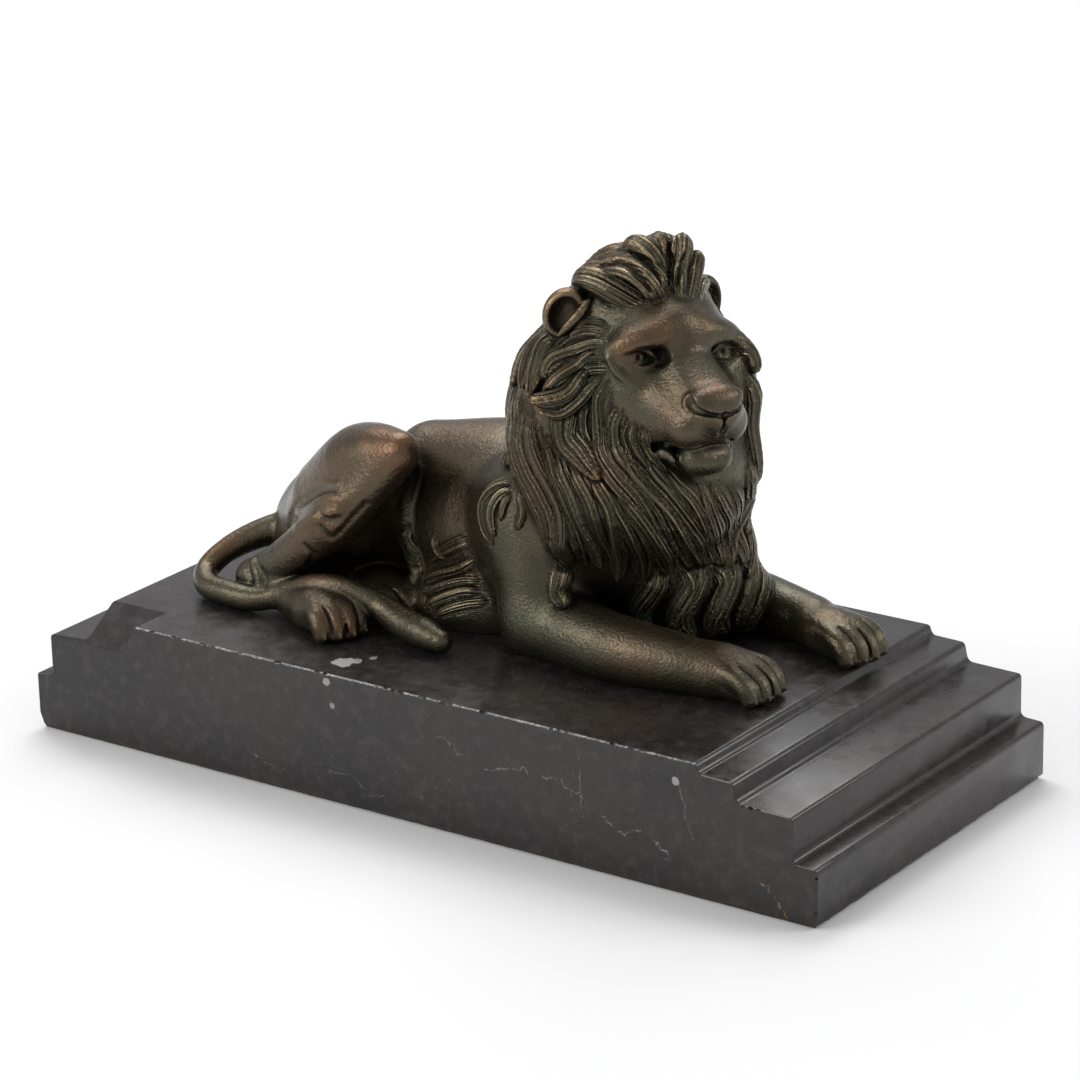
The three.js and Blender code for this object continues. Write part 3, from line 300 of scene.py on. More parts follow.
def limb(frame, stations, spans=10):
    """A round limb along a curve; stations are (x, y, z, radius)."""
    made = [np.append(frame.out(s[:3]), s[3]) for s in smooth_path(stations, spans)]
    pieces = []
    for a, b in zip(made, made[1:]):
        along = b[:3] - a[:3]
        span = max(float(along @ along), 1e-9)
        reach = max(a[3], b[3])

        def distance(x, y, z, a=a, b=b, along=along, span=span):
            dx, dy, dz = x - a[0], y - a[1], z - a[2]
            t = np.clip((dx * along[0] + dy * along[1] + dz * along[2]) / span, 0, 1)
            gap = (dx - t * along[0]) ** 2 + (dy - t * along[1]) ** 2 + (dz - t * along[2]) ** 2
            return np.sqrt(gap) - (a[3] + (b[3] - a[3]) * t)

        lo, hi = np.minimum(a[:3], b[:3]) - reach, np.maximum(a[:3], b[:3]) + reach
        pieces.append((lo, hi, distance))
    return Shape(pieces)


halfway = smooth_path([(0, 0, 0, 1), (10, 0, 0, 2), (10, 10, 0, 1)], 4)[1]
print("a quarter of the way round a bend:", halfway.round(2))

# %% [markdown]
# A lock of hair in bronze is a flat ribbon with combed strands: broad waves with fine ridges on
# them. It knows, for any point near it, how far across its strands the point lies. The colour and
# the fine relief follow that later.

# %% Flat locks of hair
class Lock(Shape):
    """A flat lock of hair through stations of (place, way out, half width, half thickness)."""

    def __init__(self, stations, ridge=0.0, spacing=2.4, start=0.0):
        self.stations = stations
        self.ridge, self.spacing, self.start = ridge, spacing, start
        at = [np.asarray(s[0], float) for s in stations]
        self.faces, self.sides, self.ways = [], [], []
        for i, s in enumerate(stations):
            along = unit(at[min(i + 1, len(at) - 1)] - at[max(i - 1, 0)])
            face = unit(s[1] - along * (along @ s[1]))
            self.faces.append(face)
            self.sides.append(np.cross(along, face))
            self.ways.append(along)
        lengths = [np.linalg.norm(b - a) for a, b in zip(at, at[1:])]
        self.run = np.concatenate([[0], np.cumsum(lengths)])
        self.widest = max(s[2] for s in stations)
        pieces = []
        for i in range(len(at) - 1):
            reach = max(stations[i][2], stations[i + 1][2])
            lo, hi = np.minimum(at[i], at[i + 1]) - reach, np.maximum(at[i], at[i + 1]) + reach
            pieces.append((lo, hi, lambda x, y, z, i=i: self.measure(i, x, y, z)[0]))
        super().__init__(pieces)

    def measure(self, i, x, y, z):
        """Distance, place across, and place along, from the stretch between stations i and i + 1."""
        (a, _, wa, ta), (b, _, wb, tb) = self.stations[i], self.stations[i + 1]
        ways = self.ways[i], self.ways[i + 1]
        after = (x - a[0]) * ways[0][0] + (y - a[1]) * ways[0][1] + (z - a[2]) * ways[0][2]
        before = (b[0] - x) * ways[1][0] + (b[1] - y) * ways[1][1] + (b[2] - z) * ways[1][2]
        t = np.clip(after / np.maximum(after + before, 1e-3), 0, 1)
        t = np.where(after < 0, 0, np.where(before < 0, 1, t))
        beyond = np.maximum(np.maximum(-after, -before), 0)
        ox, oy, oz = (c - (a[n] + (b[n] - a[n]) * t) for n, c in enumerate((x, y, z)))

        def part(first, second):
            one = ox * first[0] + oy * first[1] + oz * first[2]
            two = ox * second[0] + oy * second[1] + oz * second[2]
            return one + (two - one) * t

        across = part(self.sides[i], self.sides[i + 1])
        up = part(self.faces[i], self.faces[i + 1])
        width = wa + (wb - wa) * t
        thick = ta + (tb - ta) * t
        u = np.sqrt(across**2 + beyond**2) / width
        v = up / thick
        size = np.sqrt(u**2 + v**2)
        slope = np.sqrt((u / width) ** 2 + (v / thick) ** 2)
        d = size * (size - 1) / np.maximum(slope, 1e-6)
        strand = across / width * self.widest / self.spacing + self.start
        strand = strand + 0.22 * np.sin(2.3 * strand + 9 * self.start)
        if self.ridge:
            fade = np.clip(1.3 - u, 0, 1) * np.clip(up / thick + 0.5, 0, 1)
            fine = np.abs(np.cos(np.pi * strand))
            broad = np.abs(np.cos(np.pi * (0.36 * strand + self.start)))
            d = d - self.ridge * fade * (1.1 * fine + 1.2 * broad - 1.2)
        return d, strand, self.run[i] + t * (self.run[i + 1] - self.run[i])


straight = Lock([((0, 0, 0), (0, 0, 1), 4, 2), ((9, 0, 0), (0, 0, 1), 4, 2)])
print("a straight lock of", straight.run[-1], "mm")

# %% [markdown]
# # The lion's masses
#
# The body is one long barrel, lying on its right hip, with the two forearms laid out in front and a
# hind leg folded on each side. A maker builds these plain masses first, because hair and creases
# laid on a wrong mass can never look right. All places are in mm, x towards the head, y to the
# lion's left, and z up from the marble. The grid is finest where the mane and the face are.

# %% The grid, finest at the mane
def graded(parts):
    """Grid lines from stretches of (start, end, spacing)."""
    lines = [np.arange(a, b, step) for a, b, step in parts]
    return np.append(np.concatenate(lines), parts[-1][1])


def filled():
    return f"{(clay.values < 0).mean():.2%} of the grid is clay"


COARSE, FINE = ((0.74, 0.5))
MIDDLING = 0.5 * (COARSE + FINE)
grid = [
    graded([(-120, -24, COARSE), (-24, 92, FINE), (92, 124, MIDDLING)]),
    graded([(-54, 56, FINE), (56, 72, COARSE)]),
    graded([(-3.4, 141, FINE)]),
]
clay = Clay(grid)
print("grid", clay.values.shape, clay.values.size // 10**6, "million points")

# %% [markdown]
# The trunk: haunch, barrel, belly, spine and shoulders, from behind to the front. They are pressed
# together softly, because a lion's skin hangs loose over its muscles.

# %% Trunk
clay.add(ellipsoid(BODY, (-76, 14, 14), (30, 27, 24)), 6)
clay.add(limb(BODY, [(-78, 14, 14, 23), (-50, 17, 24, 22), (-12, 14, 30, 28)], 24), 10)
clay.add(ellipsoid(BODY, (-12, 14, 33), (38, 25, 28)), 8)
clay.add(ellipsoid(BODY, (-6, 8, 12), (33, 20, 22)), 8)
clay.add(ellipsoid(BODY, (-22, 2, 3), (24, 20, 13)), 10)
clay.add(limb(BODY, [(-44, 12, 44, 13.5), (-24, 13, 44, 14), (-4, 13, 43.5, 14.5)], 12), 8)
clay.add(ellipsoid(BODY, (12, -4, 36), (20, 17, 27)), 8)
clay.add(ellipsoid(BODY, (14, 34, 34), (22, 15, 26)), 8)
print(filled())

# %% [markdown]
# The forelegs lie flat in front. Each is a shoulder, an upper arm that comes down to the elbow, and a
# forearm that gets thinner towards the wrist.

# %% Forelegs
clay.add(limb(BODY, [(6, -6, 42, 17), (14, -12, 24, 14), (16, -15, 12, 13)], 16), 8)
near = [(16, -15, 10, 12), (44, -21, 9, 11), (70, -20, 8, 9.5), (82, -18, 7, 8.5)]
clay.add(limb(BODY, near, 20), 5)
clay.add(limb(BODY, [(10, 34, 34, 18), (30, 40, 14, 14)], 12), 8)
clay.add(limb(BODY, [(30, 42, 9, 12), (60, 41, 7, 10), (84, 36, 6.5, 8.5)], 20), 5)
print(filled())

# %% [markdown]
# The head looks to the lion's right, so it and the neck have frames of their own. The mane's mass
# comes now, before any hair: a hood behind the head, a bib down the chest, and the fall over the far
# shoulder.

# %% The mass of the mane
HEAD_YAW = -26.6
HEAD = Frame((46.4, 3, 100), HEAD_YAW, 2.8, -1.4)
NECK = Frame((47, 3, 101), -26.4)
clay.add(ellipsoid(NECK, (-10, 0, 4), (19, 26, 20)), 6)
clay.add(ellipsoid(NECK, (-4, 3, 14), (15, 15, 16)), 5)
clay.add(limb(BODY, [(26, -14, 92, 12), (22, -17, 66, 12), (30, -19, 44, 7)], 12), 8)
clay.add(ellipsoid(NECK, (-13, -1, -24), (25, 36, 32)), 8)
clay.add(ellipsoid(NECK, (4, -1, -38), (25, 30, 27)), 8)
clay.add(ellipsoid(BODY, (34, 14, 46), (29, 31, 34)), 8)
clay.add(ellipsoid(BODY, (44, 20, 22), (24, 22, 26)), 8)
clay.add(limb(BODY, [(64, 14, 100, 7), (67.5, 16, 89, 8), (64, 17, 72, 8), (60, 20, 48, 8)], 16), 6)
print(filled())

# %% [markdown]
# The near hind leg stands up in a sharp knee that is as high as the back, and folds down to a heel
# by the tail. The foot of the far one comes out under the belly.

# %% Hind legs
thigh = [
    (-80, 0, 14, 17), (-66, -6, 31, 19), (-53, -13, 47, 15), (-43, -18, 54.5, 10.5), (-32, -21.5, 60, 5.6),
]
clay.add(limb(BODY, thigh, 24), 5)
shin = [(-32.5, -22, 57.5, 6), (-54, -26, 35, 8.6), (-76, -28, 16, 7), (-89, -28, 9, 5)]
clay.add(limb(BODY, shin, 20), 3)
clay.add(limb(BODY, [(-90, -28, 8, 5), (-72, -32, 6, 5.6), (-58, -37, 5.5, 7)], 12), 3)
clay.add(limb(BODY, [(-70, -6, 6, 6), (-58, -8.5, 6, 6), (-48, -9.5, 5, 6)], 12), 3)
clay.add(limb(BODY, [(-80, 30, 14, 18), (-56, 38, 14, 17), (-34, 40, 12, 12)], 20), 8)
clay.add(limb(BODY, [(-40, 48, 7, 8), (-64, 46, 7, 7)], 8), 4)
clay.smooth(4)
print(filled())

# %% [markdown]
# Skin folds where the thigh meets the flank, and tendons show on the thigh. Each is a shallow limb
# that is first moved onto the surface, so that it stays as deep as it is meant to be.

# %% Folds of skin on the flank and the thigh
FOLDS = [
    [(-38, -7, 49, 1.2), (-40, -8.7, 38, 1.8), (-41, -8, 27, 1.8), (-38.6, -7, 17, 1.2)],
    [(-41, -15, 38, 1), (-45, -8, 25, 1.4), (-39, -8.8, 12, 1)],
    [(-70, -25, 38, 0.2), (-61, -28, 43.5, 0.6), (-52, -30.5, 47, 0.3)],
    [(-72, -24.5, 32, 0.3), (-64, -29, 38, 0.8), (-54, -32, 43, 0.7), (-48, -32.5, 43, 0.2)],
    [(-66, -32, 31, 0.2), (-58, -34, 36, 0.6), (-50, -33.5, 39.5, 0.3)],
    [(-86, -31, 16, 0.3), (-82, -34, 11, 0.6), (-81, -34.5, 7, 0.3)],
]
CREASES = [
    [(-80, -19, 28, 0.2), (-74.6, -22.5, 33.9, 0.6), (-66.4, -26.4, 40.2, 0.9), (-59.3, -28.6, 43.7, 0.8),
     (-51.6, -30.4, 44.7, 0.3)],
    [(-56, -34.4, 37.8, 0.2), (-52.3, -34, 36.2, 0.6), (-48.6, -33.4, 37.4, 0.2)],
    [(-55, -34.2, 33.4, 0.2), (-52.5, -33, 29.9, 0.6), (-49.8, -32.2, 31.5, 0.2)],
    [(-61.8, -34.7, 26, 0.2), (-60, -33.2, 22.8, 0.5), (-63, -31.7, 18.4, 0.2)],
    [(-41, -29, 43, 0.1), (-45, -30.6, 38, 0.3), (-50, -31, 33, 0.1)],
    [(-77, -21.5, 29.4, 0.5), (-80, -19.5, 26, 0.8), (-81.5, -18.7, 22.6, 0.4)],
    [(-84, -33, 16, 0.3), (-80, -35, 13, 0.5), (-78, -35.5, 8, 0.3)],
    [(-88, -31.5, 14, 0.3), (-85, -34, 10, 0.5), (-84, -34, 6, 0.3)],
]


def on_surface(path, height=0.0):
    """The path's places moved to lie on the clay, or at a height over it."""
    return [(*clay.settle(p[:3], height), p[3]) for p in path]


for path in FOLDS:
    clay.add(limb(BODY, on_surface(path, -0.4), 16), 3.4)
for path in CREASES:
    clay.take(limb(BODY, on_surface(path, 0.2), 12), 2.2)
print(len(FOLDS), "folds and", len(CREASES), "creases")

# %% [markdown]
# A paw is one broad pad with four toes pressed together, each with a knuckle and a blunt claw.

# %% Paws
def paw(x, y, yaw, size=1.0, reach=13.5):
    """A paw with four toes close together, each with a knuckle and a blunt claw."""
    spot = Frame((x, y, 0), yaw)
    heel = (-3, 0, 7), (12, 9.5, 7.5)
    pad = (0.45 * reach, 0, 4.6), (0.6 * reach, 8.6, 5.6)
    for centre, radii in (heel, pad):
        clay.add(ellipsoid(spot, np.array(centre) * size, np.array(radii) * size), 4)
    for k in (-1.5, -0.5, 0.5, 1.5):
        spread, tip = 4.7 * k, reach - 1.5 * abs(k)
        toe = [
            (-4, 0.7 * spread, 9.4, 2.6), (0.5 * tip, spread, 8.6, 3.1),
            (0.88 * tip, 1.05 * spread, 6, 3.1), (tip, 1.05 * spread, 3, 2.7),
        ]
        clay.add(limb(spot, np.array(toe) * size, 10), 2.2)
        claw = [(tip + 1.6, 1.05 * spread, 4.4, 1.1), (tip + 2.8, 1.07 * spread, 2.4, 0.6)]
        clay.add(limb(spot, np.array(claw) * size, 4), 0.6)
    for side in (-4.85, 0, 4.85):
        gap = [
            (0.4 * reach, side, 11.6, 0.2), (0.75 * reach, side, 10, 0.4), (reach, side, 7, 0.5),
            (reach + 1.2, side, 3, 0.5),
        ]
        clay.take(limb(spot, np.array(gap) * size, 10), 0.8)


# Place on the marble, which way it points in degrees, and for the hind paws the size and the reach
for place in ((88, -15.5, -4), (97, 30, -14), (-50, -38, -26, 0.98, 10.5), (-46, -11.5, -10, 0.84, 12)):
    paw(*place)
print(filled())

# %% [markdown]
# The tail comes round the near hind leg in one bend and lies over the foot, and its tuft rests on
# the marble.

# %% Tail
TAIL = [
    (-88, -2, 19, 6), (-99.5, -10, 16, 4.8), (-107.5, -20, 11, 4), (-109, -28, 6.5, 3.9),
    (-103.5, -34, 4.4, 4.2), (-93, -36.3, 4.3, 4.3), (-83, -36.3, 4.3, 4), (-75, -34, 6, 3.7),
    (-67.5, -33, 10, 3.5), (-58.5, -34.3, 13.5, 3.4), (-50, -33.7, 14.4, 3.4), (-42.8, -32, 12.5, 3.6),
    (-35.5, -30.5, 9, 4.3), (-25.7, -32, 6, 5), (-15.6, -34.1, 5, 5), (-8.5, -35, 4, 3.6),
]
clay.add(limb(BODY, TAIL, 75), 1.2)
print("tail through", len(TAIL), "stations")

# %% [markdown]
# The skull: a round braincase, a broad brow, a straight nose, deep cheeks and a square muzzle with a
# lip on each side. The fine parts of the face wait until the hair is on.

# %% Skull
NEAR, FAR_SIDE = -1, 1
clay.add(ellipsoid(HEAD, (-6, 0, 2), (26, 24, 21.5)), 4)
clay.add(ellipsoid(HEAD, (8, 0, 7), (14.5, 17.5, 12)), 5)
clay.add(limb(HEAD, [(14, 0, 3, 9), (24, 0, -5, 8), (31, 0, -11, 7.4), (38, 0, -12.8, 6.4)], 16), 4)
clay.add(ellipsoid(HEAD, (27, 0, -16), (14, 12.5, 10)), 6)
clay.add(ellipsoid(HEAD, (28.5, 0, -28.4), (10, 7.6, 4.6)), 1.6)
for side in (NEAR, FAR_SIDE):
    clay.add(limb(HEAD, [(24, 2.6 * side, -4, 6.6), (39, 2.8 * side, -11.5, 5.6)], 6), 3)
    clay.add(ellipsoid(HEAD, (8, 14.5 * side, -10), (14, 8.5, 15)), 7)
    clay.add(ellipsoid(HEAD, (22, 9.5 * side, -15), (10, 6, 9.5)), 6)
    clay.add(ellipsoid(HEAD, (33.5, 6 * side, -17), (8, 7.2, 7.4)), 2)
print(filled())

# %% [markdown]
# # Hair
#
# A bronze mane is a few dozen thick locks laid over each other like roof tiles, each a flat tapering
# ribbon that rises off the mass, carries combed strands, and ends in a curled tip. The locks are
# laid on a copy of the plain mass, so that each follows its surface however deep others lie on it.

# %% One stretch of a lock
RIDGE_HEIGHT, STRAND = 0.5, 1.7
# Shares of a lock's length: where its root ends, where its taper starts, and how long that is
ROOT_END, TAPER_START, TAPER = 0.3, 0.55, 0.45
# How blunt most tips are
BLUNT = 0.14
# How deep in mm the root is sunk, and how far the lock then rises
SUNK, RISE = 1.7, 1.3
locks = []
base = Clay(clay.axes)
base.values = clay.values.copy()


def mix(a, b, t):
    return a + (b - a) * t


def chance(n):
    """A number from 0 to 1 that is always the same for the same n."""
    x = np.sin(n * 12.9898 + 4.1) * 43758.5453
    return x - np.floor(x)


def station(base, point, out, size, t):
    """One stretch of a lock: narrow at the root, fullest past the middle, lifted towards the tip."""
    width, thick, lift, blunt = size
    root = np.clip(t / ROOT_END, 0, 1)
    root = root * root * (3 - 2 * root)
    tip = np.sqrt(1 - np.clip((t - TAPER_START) / TAPER, 0, 1) ** 2 * (1 - blunt**2))
    at = base.settle(point, -SUNK + RISE * root + lift * t * t)
    return at, out, width * (0.45 + 0.55 * root) * tip, thick * (0.25 + 0.75 * root) * (0.35 + 0.65 * tip)


def add_lock(stations, seed):
    """Presses a lock on, with strands that start at a place of its own."""
    lock = Lock(stations, RIDGE_HEIGHT, STRAND, chance(seed))
    locks.append(lock)
    clay.add(lock, 0.5)


print("strands", STRAND, "mm apart and", RIDGE_HEIGHT, "mm high")

# %% [markdown]
# The first kind of lock lies between two places, bows to one side and sways. A ring of them falls
# down the chest, and rows of them cover the nape and the far shoulder.

# %% Chest and nape
def lay_lock(base, root, tip, bow, sway, width, thick=2.8, lift=1.6):
    """A lock between two places that bows to one side and sways in an S."""
    root, tip = np.array(root, float), np.array(tip, float)
    side = unit(np.cross(base.outward(base.settle((root + tip) / 2)), unit(tip - root)))
    stations = []
    for i in range(15):
        t = i / 14
        off = bow * np.sin(np.pi * t) + sway * np.sin(2 * np.pi * t)
        place = base.settle(mix(root, tip, t) + side * off)
        stations.append(station(base, place, base.outward(place), (width, thick, lift, BLUNT), t))
    return stations


CHEST, CHEST_REACH, CHEST_LOCKS = (44, 20), 24, 9
for i in range(CHEST_LOCKS):
    turn = np.radians(mix(-80, 55, (i + 0.5) / CHEST_LOCKS))
    x, y = CHEST[0] + CHEST_REACH * np.cos(turn), CHEST[1] + CHEST_REACH * np.sin(turn)
    bow, width = 4 if i % 2 else -3, 3.6 + 1.4 * chance(i)
    add_lock(lay_lock(base, (x, y, 33), (x, y, 5), bow, 2.5, width, lift=2.5), 300 + i)
# How many locks, from and to how far round from straight back to the lion's left, then how far out
# from the neck's axis and how high, at the root and at the tip
BACK_ROWS = [
    (8, 8, 100, (34, -34), (42, -58)), (9, -26, 105, (30, -16), (38, -42)),
    (9, -34, 110, (26, 0), (34, -30)), (8, -34, 110, (24, 12), (30, -12)), (6, -30, 80, (10, 24), (25, 6)),
]
for r, (count, start, stop, root, tip) in enumerate(BACK_ROWS):
    for i in range(count):
        turn = np.radians(mix(start, stop, (i + 0.5 * (r % 2)) / (count - 1)))
        ends = [NECK.out((-10 - d * np.cos(turn), d * np.sin(turn), z)) for d, z in (root, tip)]
        bow, width = 3 if i % 2 else -2, 4.2 + chance(i + r)
        add_lock(lay_lock(base, *ends, bow, 2, width, 2.4, 1.2), 340 + 10 * r + i)
print(len(locks), "locks so far")

# %% [markdown]
# Around the face the hair radiates: back over the crown, and down and outward at the sides. These
# locks start in rings around the face and find their own way along that flow.

# %% Rings around the face
def combing(point):
    """Which way the hair runs at a place on the head: back over the crown, down the sides."""
    q = NECK.within(point)
    side = np.sign(q[1]) or 1
    rise = q[2] + 2
    reach = np.hypot(q[1], rise) or 1
    crown = np.clip((rise / reach - 0.15) / 0.7, 0, 1)
    low = np.clip((-20 - q[2]) / 25, 0, 1)
    sides = np.array([mix(-0.75, 0.25, low), mix(0.45, -0.3, low) * side, -1])
    top = np.array([-1, q[1] / reach * 0.9, rise / reach * 0.35])
    return NECK.turn @ unit(mix(sides, top, crown))


def grow_lock(base, root, row, length, seed):
    """A lock that starts at root and finds its own way down the combed mass."""
    place = base.settle(root)
    bend = chance(seed) * 1.5 - 0.75
    size = (row["width"], row["thick"], row["lift"], BLUNT)
    stations = []
    for i in range(13):
        out = base.outward(place)
        stations.append(station(base, place, out, size, i / 12))
        along = combing(place)
        flat = unit(along - out * (along @ out))
        turn = np.cross(out, flat) * bend * np.sin(5 * i / 12)
        place = base.settle(place + unit(flat + turn) * length / 12)
    return stations


# Angles in degrees: how far back from the face's axis, and round it from the lion's left over the crown
MANE_ROWS = [
    dict(back=150, start=-10, stop=190, count=6, length=34, width=6.5, thick=2.6, lift=1.5, taper=0),
    dict(back=122, start=0, stop=240, count=13, length=44, width=5.4, thick=2.6, lift=2, taper=0.45),
    dict(back=100, start=-60, stop=75, count=9, length=40, width=5.2, thick=2.6, lift=2, taper=0),
    dict(back=78, start=-75, stop=45, count=9, length=42, width=4.6, thick=2.4, lift=2, taper=0),
]
RING_RADIUS = 40
for r, row in enumerate(MANE_ROWS):
    for i in range(row["count"]):
        turn = np.radians(mix(row["start"], row["stop"], (i + 0.5) / row["count"]))
        back = np.radians(row["back"])
        way = np.array([np.cos(back), np.sin(back) * np.cos(turn), np.sin(back) * np.sin(turn)])
        length = row["length"] * (1 - row["taper"] * i / row["count"])
        root, seed = NECK.out(way * RING_RADIUS - (4, 0, 0)), 20 * r + i
        add_lock(grow_lock(base, root, row, length, seed), seed)
# Root, tip, bow, sway and half width of three more, on the lion's left
LAID_LOCKS = [
    ((71, 11, 102), (76, 16, 93), 3, 0, 3.6),
    ((75, 11, 96), (71, 23, 54), 0, 2, 3.8),
    ((71, 18, 72), (68, 22, 23), 6, -8, 4.2),
]
for i, lock in enumerate(LAID_LOCKS):
    add_lock(lay_lock(base, *lock), 200 + i)
print(len(locks), "locks so far")

# %% [markdown]
# The locks that the photo shows one by one are draped along paths of their own. The short hair goes
# on first: it only lines the cheeks, the temple, the beard, the belly and the mane's edge.

# %% Short hair
def drape_lock(base, size, path, spans=18):
    """A lock that follows a path of places over the mass."""
    stations = []
    for i, place in enumerate(smooth_path(path, spans)):
        place = base.settle(place)
        stations.append(station(base, place, base.outward(place), size, i / spans))
    return stations


# (half width, thickness, lift of the tip, bluntness of the tip), then the path in mm
SHORT = [
    ((4.4, 1.5, 0.2, 0.6), [(50, -21, 107), (39, -18, 107.5), (32, -19.5, 104.5), (28, -24, 97)]),
    ((4.4, 1.5, 0.2, 0.6), [(52, -23, 102), (42, -20.5, 101), (36, -21.5, 98), (30, -26.5, 91)]),
    ((4.0, 1.5, 0.2, 0.3), [(43, -22, 92), (39, -23.5, 85), (40, -25, 78.5), (44, -26, 74), (48, -27, 71)]),
    ((4.2, 1.5, 0.2, 0.3), [(51, -23, 98), (46, -23, 90), (46, -23.5, 84), (47.5, -25, 77),
                            (51.5, -26.5, 72)]),
    ((4.0, 1.5, 0.2, 0.3), [(55.5, -23.5, 90), (51, -23.5, 84), (51, -24.5, 77.5), (54.5, -25.5, 72),
                            (59, -25, 67.5)]),
    ((3.6, 1.5, 0.2, 0.3), [(59, -23, 87), (55.5, -22.5, 79.5), (58, -23, 74), (63, -22, 68.5)]),
    ((3.0, 1.5, 0.2, 0.3), [(63, -23.5, 85), (60.5, -21.5, 78.5), (62, -21, 73.5), (66, -19, 69)]),
    ((2.6, 1.5, 0.3, 0.1), [(-7, -16, 27), (-16, -14, 21), (-24, -12, 17), (-33, -12, 12)]),
    ((2.4, 1.5, 0.3, 0.1), [(-6, -14, 18), (-12, -14, 18), (-20, -14, 15), (-29, -15, 10)]),
    ((2.4, 1.5, 0.3, 0.1), [(-7, -14, 14), (-13, -14.5, 14), (-20, -15.5, 11), (-28, -17, 6)]),
    ((2.2, 1.5, 0.3, 0.1), [(-3, -16, 12), (-9, -15, 11), (-15, -16, 9), (-23, -18, 5)]),
    ((2.0, 1.5, 0.3, 0.1), [(-8, -15, 33), (-16, -13, 29), (-24, -12, 24), (-31, -11, 19)]),
    ((1.8, 1.5, 0.3, 0.1), [(-38, -9, 33), (-40, -8, 25), (-36.6, -8, 19.5), (-34, -10, 14)]),
    ((1.6, 1.5, 0.4, 0.2), [(-27, -12, 29), (-26, -12, 25), (-22.5, -12.5, 22.5)]),
    ((4.0, 1.5, 0.3, 0.3), [(15, -24, 92), (15.5, -27, 84), (17.5, -30.4, 77), (19, -31.6, 71),
                            (21, -31.8, 62)]),
    ((4.0, 1.5, 0.3, 0.3), [(12, -20, 94), (11.5, -21, 86), (12.5, -25, 78), (14, -28, 70), (16, -30, 60)]),
]
for i, (size, path) in enumerate(SHORT):
    add_lock(drape_lock(base, size, path), 400 + i)
print(len(locks), "locks so far")

# %% [markdown]
# Then the long ones: down the side and the front of the mane, the curls behind the cheek and below
# the ear, and the small tuft that a lion has on its shoulder.

